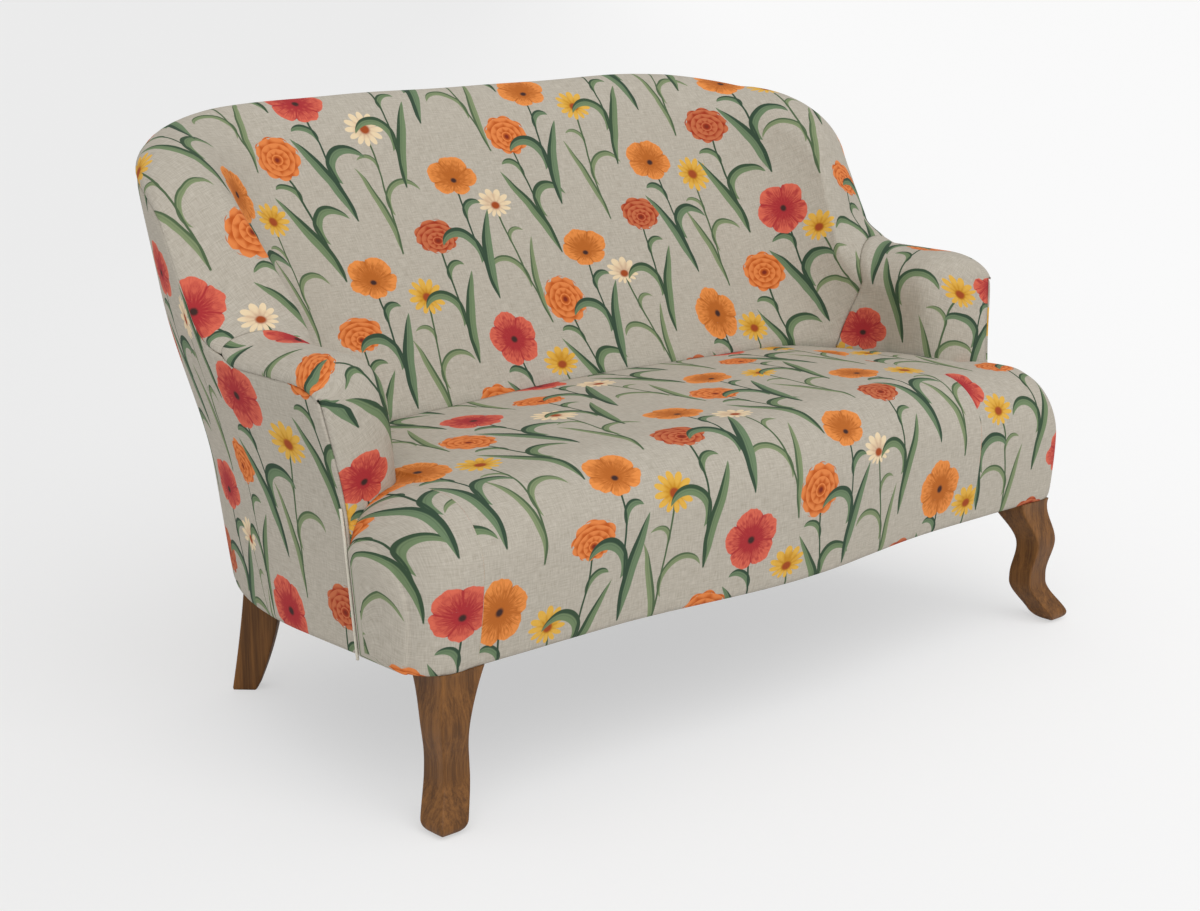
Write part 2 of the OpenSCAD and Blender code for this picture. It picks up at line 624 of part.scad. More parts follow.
module back_former(x) {
    z0 = rail_z1 + seat_gap;
    z1 = crest_z0 - seat_gap;
    n0 = stay_z0 - seat_gap;
    n1 = stay_z0 + stay_h + seat_gap;
    wy = mix(face_y(n1), wall_y(n1), 0.5);
    color(beech) translate([x - board_t/2, 0, 0]) rotate([90, 0, 90]) linear_extrude(board_t)
        difference() {
            polygon([[face_y(z0), z0], [wall_y(z0), z0], [wall_y(z1), z1], [face_y(z1), z1],
                [face_y(n1), n1], [face_y(n1) + rail_t + seat_gap, n1],
                [face_y(n0) + rail_t + seat_gap, n0], [face_y(n0), n0]]);
            translate([mix(face_y(z0), wall_y(z0), 0.5), (z0 + n0)/2])
                square(former_hole, center = true);
            translate([wy + arm_thin, n1 + former_eye_up]) circle(d = former_eye, $fn = 48);
        }
}

former_x = rear_x - board_t/2 - seat_gap;
module back_webbing() {
    z0 = stay_z0 + lip;
    z1 = roll_z;
    pitch = 2*former_x/(straps + 1);
    color(jute) for (i = [1:straps]) translate([-former_x + i*pitch - strap_w/2, 0, 0])
        rotate([90, 0, 90]) linear_extrude(strap_w)
            polygon([[frame_y(z0) + gap, z0], [frame_y(z0) + gap + strap_t, z0],
                [frame_y(z1) + gap + strap_t, z1], [frame_y(z1) + gap, z1]]);
}

// Zigzag springs bowed up between the front rail and the spring rail
spring_turns = 8;
spring_in = 70;
function spring_x(i) = mix(-inner_w0 + spring_in, inner_w0 - spring_in, i/(springs - 1));
module seat_spring(x0) {
    y0 = spring_y0(x0);
    steps = 6*spring_turns;
    r = wire_d/2;
    rings = [for (i = [0:steps]) let (k = i/steps, turn = 360*spring_turns*k,
        y = mix(y0, spring_y1, k), x = x0 + spring_w/2*sin(turn), z = wire_z + rise(x0, y),
        way = atan2(spring_w*PI*spring_turns*cos(turn), spring_y1 - y0))
        [for (a = [0:3]) [x + r*cos(90*a)*cos(way), y - r*cos(90*a)*sin(way), z - r*sin(90*a)]]];
    loft(rings);
}

module seat_springs() {
    color(steel) for (i = [0:springs - 1]) seat_spring(spring_x(i));
}

// Each clip is a folded strip that hooks over the end of its spring
clip_w = 9;
clip_tail = 8;
module spring_clip(x, y, way) {
    z1 = clip_t + wire_d + 2*seat_gap;
    bight = wire_d/2 + seat_gap;
    lip = wire_d/2 + 2;
    translate([x - clip_w/2, y, rail_z1 + seat_gap]) rotate([90, 0, 90]) linear_extrude(clip_w)
        polygon([for (p = [[-clip_tail, 0], [bight + clip_t, 0], [bight + clip_t, z1 + clip_t],
            [-lip, z1 + clip_t], [-lip, z1], [bight, z1], [bight, clip_t], [-clip_tail, clip_t]])
            [way*p[0], p[1]]]);
}

module spring_clips() {
    color(steel) for (i = [0:springs - 1]) {
        x = spring_x(i);
        spring_clip(x, spring_y0(x), -1);
        spring_clip(x, spring_y1, 1);
    }
}

// Strong cloth over the springs, from rail to rail
module spring_cover() {
    half = board_x - gap;
    y1 = face_y(join_z) - gap;
    h = [for (x = span(-half, half, 12)) [for (k = span(0, 1, 8))
        let (y = mix(rail_front(x) + 3, y1, k)) [x, y, cover_z0 + rise(x, y)]]];
    v = [for (row = h) [for (p = row) p + [0, 0, cover_t]]];
    color(jute) skin(h, v);
}

// Cloth under the frame, pierced by the leg bolts
module dust_cover() {
    inset = panel_t + 2;
    outer = bend(under_h, inset, 10);
    n = len(outer) - 1;
    xs = span(half_w - inset, -half_w + inset, 30);
    color(calico) translate([0, 0, under_h]) linear_extrude(dust_t) difference() {
        polygon(concat(outer, [for (i = [n:-1:0]) [-outer[i][0], outer[i][1]]],
            [for (i = [30:-1:0]) [xs[i], front_y(xs[i]) + apron + 2]]));
        for (s = [-1, 1]) for (b = [front_bolt(), rear_bolt()])
            translate([s*b[0], b[1]]) circle(d = bolt_d + 0.6, $fn = 24);
    }
}

// Front legs: square cabriole section with its arris on the outward diagonal
leg_z = under_h - seat_gap;
bolt_in = 30;
module bolt_hole() cylinder(d = bolt_d + 0.6, h = bolt_in + 1.5, $fn = 24);
toe_set = 3;
toe_curl = 42;
toe_run = 70;
shin_out = 11;
shin_z = 80;
shin_run = 55;
knee_z = shin_z + shin_run;
sole_r = 18;
knee_set = leg_set - toe_curl + shin_out - 1;
function leg_c(z) = -toe_set - toe_curl*ease(z/toe_run) + shin_out*ease((z - shin_z)/shin_run)
    - knee_set*ease((z - knee_z)/(leg_z - knee_z));
swell_z = 100;
function leg_w(z) = (mix(ankle_w, knee_w, pow(max(0, z - swell_z)/(leg_z - swell_z), 1.9))
        + (toe_w - ankle_w)*(1 - ease((z - sole_r)/(swell_z - sole_r))))
    *(z < sole_r ? sqrt(1 - 0.93*pow((sole_r - z)/sole_r, 2)) : 1);
function front_top() = let (c = leg_c(leg_z)*sin(45)) [toe_x + c, y_front + toe_back - c];
function front_bolt() = let (p = front_top()) [p[0] - bolt_d, rail_front(p[0] - bolt_d) + rail_t/2];

module front_leg(side) {
    zs = concat([for (k = [0, 0.11, 0.33, 0.67, 1]) k*sole_r], span(sole_r + 8, leg_z, 15));
    b = front_bolt();
    rings = [for (z = zs) let (w = leg_w(z)/2, e = w*0.12, c = leg_c(z)*sin(45),
        x = toe_x + c, y = y_front + toe_back - c)
        [for (q = [[w, -w + e], [w, w - e], [w - e, w], [-w + e, w], [-w, w - e], [-w, -w + e],
            [-w + e, -w], [w - e, -w]]) [x + q[0], y + q[1], z]]];
    color(oak) pair(side) difference() {
        loft(rings);
        translate([b[0], b[1], leg_z - bolt_in - seat_gap]) bolt_hole();
    }
}

// Rear legs: sabre profile swept diagonally out and back
foot_in = 128;
foot_back = 47;
sabre_set = 8;
function rear_foot() = [half_w - foot_in, out_y(under_h) - foot_back];
function sabre_out(z) = let (k = 1 - z/leg_z) sabre_kick*pow(k, 1.4) - sabre_set;
function sabre_in(z) = let (k = 1 - z/leg_z)
    -sabre_set - sabre_top + (sabre_top + sabre_kick - sabre_foot)*pow(k, 2);
function rear_bolt() = let (s = -sabre_set - sabre_top/2, f = rear_foot(), t = sabre_t/2)
    [f[0] + (s - t)*sin(45), f[1] + (s + t)*sin(45)];

module rear_leg(side) {
    zs = span(0, leg_z, 12);
    f = rear_foot();
    b = rear_bolt();
    color(oak) pair(side) difference() {
        translate([f[0], f[1], 0]) rotate(-45) translate([-sabre_t, 0, 0]) rotate([90, 0, 90])
            linear_extrude(sabre_t) polygon(concat([for (z = zs) [sabre_out(z), z]],
                [for (i = [12:-1:0]) [sabre_in(zs[i]), zs[i]]]));
        translate([b[0], b[1], leg_z - bolt_in - seat_gap]) bolt_hole();
    }
}

module leg_bolts() {
    color(steel) for (s = [-1, 1]) for (b = [front_bolt(), rear_bolt()])
        translate([s*b[0], b[1], leg_z - bolt_in]) cylinder(d = bolt_d, h = 2*bolt_in, $fn = 24);
}

seat_pad();
inside_back_pad();
inside_arm_pad(-1);  // inside_arm_pad_left
inside_arm_pad(1);  // inside_arm_pad_right
outside_back_panel();
outside_arm_panel(-1);  // outside_arm_panel_left
outside_arm_panel(1);  // outside_arm_panel_right
front_piping(-1);  // front_piping_left
front_piping(1);  // front_piping_right
dust_cover();
spring_cover();
seat_springs();
spring_clips();
front_seat_rail();
rear_seat_rail();
side_seat_rail(-1);  // side_seat_rail_left
side_seat_rail(1);  // side_seat_rail_right
spring_rail();
seat_braces();
front_corner_blocks();
rear_corner_blocks();
arm_board(-1);  // arm_board_left
arm_board(1);  // arm_board_right
arm_top_board(-1);  // arm_top_board_left
arm_top_board(1);  // arm_top_board_right
arm_front_post(-1);  // arm_front_post_left
arm_front_post(1);  // arm_front_post_right
wing_board(-1);  // wing_board_left
wing_board(1);  // wing_board_right
wing_rail(-1);  // wing_rail_left
wing_rail(1);  // wing_rail_right
back_top_rail();
back_stay_rail();
back_former(-former_x);  // back_former_outer_left
back_former(-former_x/3);  // back_former_inner_left
back_former(former_x/3);  // back_former_inner_right
back_former(former_x);  // back_former_outer_right
back_webbing();
front_leg(-1);  // front_leg_left
front_leg(1);  // front_leg_right
rear_leg(-1);  // rear_leg_left
rear_leg(1);  // rear_leg_right
leg_bolts();
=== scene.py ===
"""Looks of the compact tub-back sofa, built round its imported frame.

The soft pieces are numpy surfaces in the same space as the frame's solids, with drawn-in seams and puckers.
The printed cloth, its weave, the oak and the hidden materials are procedural.
"""

import json
import logging
import math
from dataclasses import dataclass, field
from enum import Enum
from typing import Sequence

import bpy
import numpy as np
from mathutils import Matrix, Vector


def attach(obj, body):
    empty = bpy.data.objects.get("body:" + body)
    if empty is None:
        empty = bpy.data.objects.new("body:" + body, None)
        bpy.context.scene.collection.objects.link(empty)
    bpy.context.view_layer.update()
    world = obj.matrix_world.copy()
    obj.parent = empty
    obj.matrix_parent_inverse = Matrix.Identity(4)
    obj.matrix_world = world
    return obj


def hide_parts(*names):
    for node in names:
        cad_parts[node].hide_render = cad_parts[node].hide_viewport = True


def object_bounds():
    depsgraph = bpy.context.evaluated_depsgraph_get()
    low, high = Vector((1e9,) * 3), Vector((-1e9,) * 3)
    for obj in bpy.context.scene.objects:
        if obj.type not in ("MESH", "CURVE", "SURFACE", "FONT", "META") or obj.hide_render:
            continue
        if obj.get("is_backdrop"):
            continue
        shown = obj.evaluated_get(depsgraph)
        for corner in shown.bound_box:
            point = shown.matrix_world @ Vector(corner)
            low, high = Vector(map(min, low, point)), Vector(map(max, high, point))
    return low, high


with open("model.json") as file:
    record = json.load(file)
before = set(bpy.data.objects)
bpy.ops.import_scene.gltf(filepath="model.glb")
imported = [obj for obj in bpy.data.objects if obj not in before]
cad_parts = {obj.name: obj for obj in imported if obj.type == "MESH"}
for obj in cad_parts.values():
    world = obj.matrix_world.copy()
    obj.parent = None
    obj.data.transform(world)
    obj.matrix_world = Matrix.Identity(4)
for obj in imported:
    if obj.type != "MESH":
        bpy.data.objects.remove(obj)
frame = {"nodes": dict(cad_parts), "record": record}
log = logging.getLogger("sofa")

Array = np.ndarray
Colour = tuple[float, float, float]
MM = 0.001
PRINT_MAP = "print"
STEM_FOOT = -0.138


class Slot(Enum):
    """Material slots of the record."""

    PRINT = "print_cloth"
    PIPING = "piping_cord"
    DUST = "dust_cloth"
    JUTE = "jute"
    STEEL = "steel"
    OAK = "oak"
    BEECH = "beech"


class Side(Enum):
    """Side of the sofa, as the sign of x."""

    LEFT = -1
    RIGHT = 1

    @property
    def word(self) -> str:
        """The ending of the node names of this side."""
        return self.name.lower()


# Small maths


def ease(t: Array | float) -> Array:
    """Smooth step from 0 to 1, flat at both ends."""
    c = np.clip(t, 0.0, 1.0)
    return c * c * (3 - 2 * c)


def mix(a: Array | float, b: Array | float, t: Array | float) -> Array:
    """Straight blend from a to b."""
    return a + (b - a) * t


def run_length(grid: Array, axis: int) -> Array:
    """Length along a grid of points from its first row or column.

    Args:
        grid: Points, shape (rows, columns, 3).
        axis: 0 to measure down the rows, 1 to measure along the columns.
    Returns:
        The running length at each point, shape (rows, columns).
    """
    step = np.linalg.norm(np.diff(grid, axis=axis), axis=2)
    start = np.zeros_like(np.take(step, [0], axis=axis))
    return np.concatenate([start, np.cumsum(step, axis=axis)], axis=axis)


def upright(grid: Array, level: int, middle: int) -> Array:
    """Print coordinates of a cloth that keep the print upright on it.

    The first coordinate is the length along each row in plan. The second is the length across the rows, from one
    level row, without the part that runs along them.

    Args:
        grid: Points, shape (n, m, 3).
        level: Row at which the second coordinate is nought.
        middle: Station at which the first coordinate is nought.
    Returns:
        Coordinates, shape (n, m, 2).
    """
    flat = grid * [1, 1, 0]
    across = run_length(flat, 0)
    along = np.gradient(flat, axis=0)
    along /= np.maximum(np.linalg.norm(along, axis=2, keepdims=True), 1e-9)
    step = np.diff(grid, axis=1)
    mean = 0.5 * (along[:, 1:] + along[:, :-1])
    rise = np.linalg.norm(step - (step * mean).sum(axis=2, keepdims=True) * mean, axis=2)
    down = np.concatenate([np.zeros((len(grid), 1)), np.cumsum(rise, axis=1)], axis=1)
    return np.stack([across - across[middle][None], down[:, level:level + 1] - down], axis=-1)


def triangle_sides(points: Array, faces: Array) -> Array:
    """Each triangle's three sides, laid flat in its own plane.

    Args:
        points: Corner points, shape (n, 3).
        faces: Corner indices, shape (triangles, 3).
    Returns:
        Sides from each corner to the next, shape (triangles, 3, 2).
    """
    a, b, c = (points[faces[:, k]] for k in range(3))
    long = np.linalg.norm(b - a, axis=1)
    east = (b - a) / long[:, None]
    x = ((c - a) * east).sum(axis=1)
    y = np.linalg.norm(c - a - x[:, None] * east, axis=1)
    corner = np.stack([np.stack([0 * x, 0 * x], 1), np.stack([long, 0 * x], 1), np.stack([x, y], 1)], axis=1)
    return corner[:, [1, 2, 0]] - corner


def net_faces(index: Array, uv: Array) -> Array:
    """Triangles of a net along both diagonals of each square, all turned the same way in the flat.

    Args:
        index: Number of each point, shape (n, m).
        uv: Flat coordinates of each point, shape (n * m, 2).
    Returns:
        Corner indices, shape (triangles, 3).
    """
    a, b, c, d = (x.ravel() for x in (index[:-1, :-1], index[1:, :-1], index[1:, 1:], index[:-1, 1:]))
    faces = np.concatenate([np.stack(f, axis=1) for f in ((a, b, c), (a, c, d), (a, b, d), (b, c, d))])
    turned = np.cross(uv[faces[:, 1]] - uv[faces[:, 0]], uv[faces[:, 2]] - uv[faces[:, 0]]) < 0
    faces[turned] = faces[turned][:, ::-1]
    return faces


def turn_to_fit(sides: Array, wanted: Array, weight: Array) -> Array:
    """Turns each triangle, as it is, to the angle that fits the wanted sides best.

    Args:
        sides: True sides, shape (triangles, 3, 2).
        wanted: Wanted sides, the same shape.
        weight: Weight of each side, shape (triangles, 3).
    Returns:
        The turned sides.
    """
    cos = (weight * (sides * wanted).sum(axis=2)).sum(axis=1)
    sin = (weight * (sides[..., 0] * wanted[..., 1] - sides[..., 1] * wanted[..., 0])).sum(axis=1)
    turn = np.arctan2(sin, cos)[:, None]
    return np.stack([np.cos(turn) * sides[..., 0] - np.sin(turn) * sides[..., 1],
                     np.sin(turn) * sides[..., 0] + np.cos(turn) * sides[..., 1]], axis=-1)


def refine(coarse: Array, i: Array, j: Array, shape: tuple[int, int]) -> Array:
    """Coordinates of a fine grid from those of some of its rows and columns.

    Args:
        coarse: Coordinates, shape (len(i), len(j), 2).
        i: Fine rows that are known.
        j: Fine columns that are known.
        shape: Size of the fine grid.
    Returns:
        Coordinates, shape (*shape, 2).
    """
    n, m = shape
    tall = np.stack([[np.interp(np.arange(m), j, row) for row in coarse[..., k]] for k in (0, 1)], axis=-1)
    fine = np.stack([[np.interp(np.arange(n), i, line) for line in tall[..., k].T] for k in (0, 1)], axis=-1)
    return fine.transpose(1, 0, 2)


def lay_flat(grid: Array, start: Array, anchor: int, columns: int = 61, rows: int = 21, rounds: int = 14) -> Array:
    """Print coordinates that keep the cloth's lengths and angles as near as can be to the flat cloth's.

    On a coarse copy of the grid, each triangle is turned to fit the coordinates, and then the coordinates are solved
    to fit the turned triangles, a few times over. The anchor station is held near its first coordinates.

    Args:
        grid: Points, shape (n, m, 3).
        start: First coordinates, shape (n, m, 2).
        anchor: Station that is held.
        columns: Coarse stations.
        rows: Coarse rows.
        rounds: How often the two steps are repeated.
    Returns:
        Coordinates, shape (n, m, 2).
    """
    n, m = grid.shape[:2]
    i = np.unique(np.append(np.linspace(0, n - 1, columns).round().astype(int), anchor))
    j = np.linspace(0, m - 1, rows).round().astype(int)
    points, first = grid[np.ix_(i, j)].reshape(-1, 3), start[np.ix_(i, j)].reshape(-1, 2)
    index = np.arange(len(points)).reshape(len(i), len(j))
    faces = net_faces(index, first)
    ends = faces[:, [1, 2, 0]]
    sides = triangle_sides(points, faces)
    weight = 1 / np.maximum(np.linalg.norm(sides, axis=2), 4.0)
    pull = np.zeros((len(points), len(points)))
    for at, to, sign in ((faces, faces, 1), (ends, ends, 1), (faces, ends, -1), (ends, faces, -1)):
        np.add.at(pull, (at, to), sign * weight)
    held, hold = index[np.searchsorted(i, anchor)], 3 * weight.mean()
    pull[held, held] += hold
    solve, uv = np.linalg.inv(pull), first
    for _ in range(rounds):
        fitted = turn_to_fit(sides, uv[ends] - uv[faces], weight) * weight[..., None]
        wanted = np.zeros_like(uv)
        np.add.at(wanted, ends, fitted)
        np.add.at(wanted, faces, -fitted)
        wanted[held] += hold * first[held]
        uv = solve @ wanted
    return refine(uv.reshape(len(i), len(j), 2), i, j, (n, m))


def even_stations(points: Array, stations: Array, count: int) -> Array:
    """Stations spaced evenly by length along a curve.

    Args:
        points: The curve's points, shape (n, 3).
        stations: The curve's parameter at each point.
        count: Number of stations wanted.
    Returns:
        The parameters, shape (count,).
    """
    length = np.concatenate([[0.0], np.cumsum(np.linalg.norm(np.diff(points, axis=0), axis=1))])
    return np.interp(np.linspace(0.0, length[-1], count), length, stations)


def srgb(red: int, green: int, blue: int) -> Colour:
    """Linear colour of a screen colour.

    Args:
        red: Red, 0 to 255.
        green: Green, 0 to 255.
        blue: Blue, 0 to 255.
    Returns:
        The colour, 0 to 1 each.
    """
    screen = (red / 255, green / 255, blue / 255)
    return tuple(c / 12.92 if c <= 0.04045 else ((c + 0.055) / 1.055) ** 2.4 for c in screen)


# Shape of the body


@dataclass(frozen=True)
class Body:
    """Outer and inner shells of the sofa's body, in millimetres.

    A point of a shell is given by u and z: u runs 0 to 1 along the half back, 1 to 2 round the corner and 2 to 3
    along the arm, and z is the height.
    """

    width: float = 1358.0
    depth: float = 818.0
    back_h: float = 887.0
    under_h: float = 213.0
    arm_h: float = 603.0
    seat_h: float = 457.0
    seat_d: float = 489.0
    ear_d: float = 184.0
    arm_w: float = 117.0
    front_bow: float = 30.0
    bow_run: float = 364.0
    belly: float = 16.0
    nose_r: float = 92.0
    corner_r: float = 64.0
    seat_fall: float = 28.0
    arm_flare: float = 33.0
    flare_z: float = 380.0
    flare_run: float = 260.0
    wing_flare: float = 8.0
    wing_run: float = 220.0
    rear_rake: float = 0.166
    seat_rake: float = 0.62
    arm_lean: float = 0.1355
    corner_x: float = 250.0
    corner_y: float = 400.0
    crown_fall: float = 41.0
    back_pad: float = 55.0
    arm_pad: float = 62.0
    top_pad: float = 36.0
    face_pad: float = 35.0
    apron: float = 26.0
    panel_t: float = 5.0
    inner_cx: float = 125.0
    inner_cy: float = 150.0
    inner_flare: float = 50.0
    inner_flare_z: float = 570.0
    inner_flare_run: float = 230.0
    corner_in_x: float = 0.06
    corner_in_y: float = 0.2
    open_x: float = 0.18
    open_y: float = 0.22
    seam_back: float = 55.0
    seam_arm: float = 32.0
    roll_back: float = 70.0
    roll_arm: float = 72.0
    blend_from: float = 1.5
    blend_run: float = 0.6
    crown_flat: float = 0.72
    crown_run: float = 0.88
    wing_from: float = 1.45
    wing_to: float = 1.85
    wing_foot: float = 1.90
    scoop_to: float = 2.18
    wing_fall: float = 95.0
    scoop_rise: float = 55.0
    nose_fall: float = 22.0
    nose_round: float = 0.96
    nose_set: float = 0.25
    nose_gap: float = 3.4
    cap_r: float = 60.0
    cap_n: float = 2.6
    seat_foot: float = 326.2
    join_drop: float = 16.0
    pad_taper: float = 0.04
    gap: float = 0.4
    foot_gap: float = 0.6
    face_turn: float = 0.625

    @property
    def front(self) -> float:
        """The foremost y of the body."""
        return -self.depth / 2

    @property
    def half(self) -> float:
        """Half the width at the underside."""
        return self.width / 2

    @property
    def inner_half(self) -> float:
        """Half the width between the arms at the seat."""
        return self.half - self.arm_w

    @property
    def join_z(self) -> float:
        """Height where the inside back meets the seat."""
        return self.seat_h - self.join_drop

    @property
    def hide_t(self) -> float:
        """Depth of the padding's lining behind the outside panels."""
        return self.panel_t + 1

    def out_w(self, z: Array) -> Array:
        """Half width of the outer shell at height z."""
        return (self.half + self.arm_flare * ease((z - self.flare_z) / self.flare_run)
                + self.wing_flare * ease((z - self.arm_h) / self.wing_run))

    def out_y(self, z: Array) -> Array:
        """Rear face of the outer shell at height z."""
        return self.depth / 2 - self.rear_rake * (self.back_h - self.seam_back - z)

    def in_w(self, z: Array) -> Array:
        """Half width of the inner shell at height z."""
        return self.inner_half + self.inner_flare * ease((z - self.inner_flare_z) / self.inner_flare_run)

    def in_y(self, z: Array) -> Array:
        """Face of the inner shell at height z."""
        return self.front + self.seat_d + self.seat_rake * np.maximum(0, z - self.join_z)

    def frame_y(self, z: Array) -> Array:
        """Back of the inside back's padding at height z."""
        rake = self.seat_rake - self.pad_taper
        return self.front + self.seat_d + self.back_pad + rake * np.maximum(0, z - self.join_z)

    def arm_y(self, z: Array) -> Array:
        """Front of the arms at height z."""
        return self.front + self.ear_d + self.arm_lean * (z - self.under_h)

    def plan(self, u: Array, a: Array, b: Array, rx: Array, ry: Array, z: Array) -> Array:
        """Plan point of a rounded U: a straight back, an elliptic corner and a straight arm.

        Args:
            u: Signed station.
            a: Half width.
            b: Rear y.
            rx: Side reach of the corner.
            ry: Depth of the corner.
            z: Height, which sets where the arm ends.
        Returns:
            Points, with z kept.
        """
        m = np.abs(u)
        turn = np.radians(90 * np.clip(m - 1, 0, 1))
        x = np.where(m < 1, (a - rx) * m, np.where(m < 2, a - rx + rx * np.sin(turn), a))
        end = self.arm_y(z) + self.cap_r
        y = np.where(m < 1, b, np.where(m < 2, b - ry + ry * np.cos(turn), mix(b - ry, end, m - 2)))
        return np.stack([np.sign(u) * x, y, z + 0 * x], axis=-1)

    def outer(self, u: Array, z: Array, off: float) -> Array:
        """Point of the outer shell at station u and height z, moved inwards by off."""
        rise = z - self.under_h
        return self.plan(u, self.out_w(z) - off, self.out_y(z) - off, self.corner_x - self.corner_in_x * rise - off,
                         self.corner_y - self.corner_in_y * rise - off, z)

    def inner(self, u: Array, z: Array, off: Array | float, back_off: Array | float) -> Array:
        """Point of the inner shell at station u and height z, moved outwards by off and back_off."""
        rise = np.maximum(0, z - self.join_z)
        return self.plan(u, self.in_w(z) + off, self.in_y(z) + back_off, self.inner_cx + self.open_x * rise + off,
                         self.inner_cy + self.open_y * rise + back_off, z)

    def crest(self, m: Array) -> Array:
        """Height of the crest: a crown, the wing's round, its steep front, the scoop and the flat arm.

        Args:
            m: Stations, without sign.
        Returns:
            Heights.
        """
        def crown(station: Array | float) -> Array:
            """Height of the crown."""
            return self.back_h - self.crown_fall * (np.maximum(0, station - self.crown_flat) / self.crown_run) ** 2

        def hollow(share: Array) -> Array:
            """Quarter round: how far it has fallen at a share of its run."""
            return 1 - np.sqrt(np.clip(1 - share ** 2, 0, 1))

        corner, scoop_top = crown(self.wing_from), self.arm_h + self.scoop_rise
        wing = corner - self.wing_fall * hollow((m - self.wing_from) / (self.wing_to - self.wing_from))
        steep = mix(corner - self.wing_fall, scoop_top, (m - self.wing_to) / (self.wing_foot - self.wing_to))
        scoop = self.arm_h + self.scoop_rise * hollow((self.scoop_to - m) / (self.scoop_to - self.wing_foot))
        ends = [m < self.wing_from, m < self.wing_to, m < self.wing_foot, m < self.scoop_to]
        return np.select(ends, [crown(m), wing, steep, scoop], self.arm_h)

    def wingness(self, m: Array) -> Array:
        """0 along the back, 1 along the arm."""
        return ease((m - self.blend_from) / self.blend_run)

    def out_drop(self, m: Array) -> Array:
        """Drop from the crest to the outer seam."""
        return mix(self.seam_back, self.seam_arm, self.wingness(m))

    def in_drop(self, m: Array) -> Array:
        """Drop from the crest to the end of the roll on the inside."""
        return mix(self.roll_back, self.roll_arm, self.wingness(m))

    def seam(self, m: Array) -> Array:
        """Height of the outer seam at station m."""
        return self.crest(m) - self.out_drop(m)

    def nose(self, ahead: Array) -> Array:
        """Fall of the arm's outer seam towards its rounded front, at a share of the way forward."""
        return self.nose_fall * (1 - np.sqrt(1 - self.nose_round * ahead ** 2))

    def corner_in(self, x: Array) -> Array:
        """Set-back of the front corner's round."""
        e = np.maximum(0, np.abs(x) - self.half + self.corner_r)
        return self.corner_r - np.sqrt(np.maximum(0, self.corner_r ** 2 - e * e))

    def front_y(self, x: Array) -> Array:
        """Front line of the body at the underside."""
        bow = 0.5 - 0.5 * np.cos(np.pi * np.minimum(1, np.abs(x) / self.bow_run))
        return self.front + self.belly + self.corner_in(x) + self.front_bow * bow

    def cap(self, turn: Array) -> tuple[Array, Array]:
        """Rounded end of the arm at an angle in degrees: the width kept and the share of the way forward."""
        a = np.radians(turn)
        return np.maximum(0, np.cos(a)) ** (2 / self.cap_n), np.sin(a) ** (2 / self.cap_n)


# Meshes


@dataclass(frozen=True)
class Edge:
    """How the cloth lies along one edge of a surface, in millimetres."""

    sink: float = 0.0
    reach: float = 12.0
    pucker: float = 0.0
    pitch: float = 34.0


def ripple(run: Array, pitch: float, seed: float) -> Array:
    """Uneven wave along a run: three sines whose lengths have no common measure, times a slow swell.

    Args:
        run: Length along the run.
        pitch: Length of the main wave.
        seed: Phase.
    Returns:
        Height, about -1 to 1.
    """
    phase = 2 * np.pi / pitch * run
    wave = np.sin(phase + seed) + 0.7 * np.sin(1.73 * phase + 2.1 * seed) + 0.5 * np.sin(0.61 * phase + 4 * seed)
    return wave * (0.6 + 0.4 * np.sin(0.23 * phase + 1.3 * seed)) / 1.6


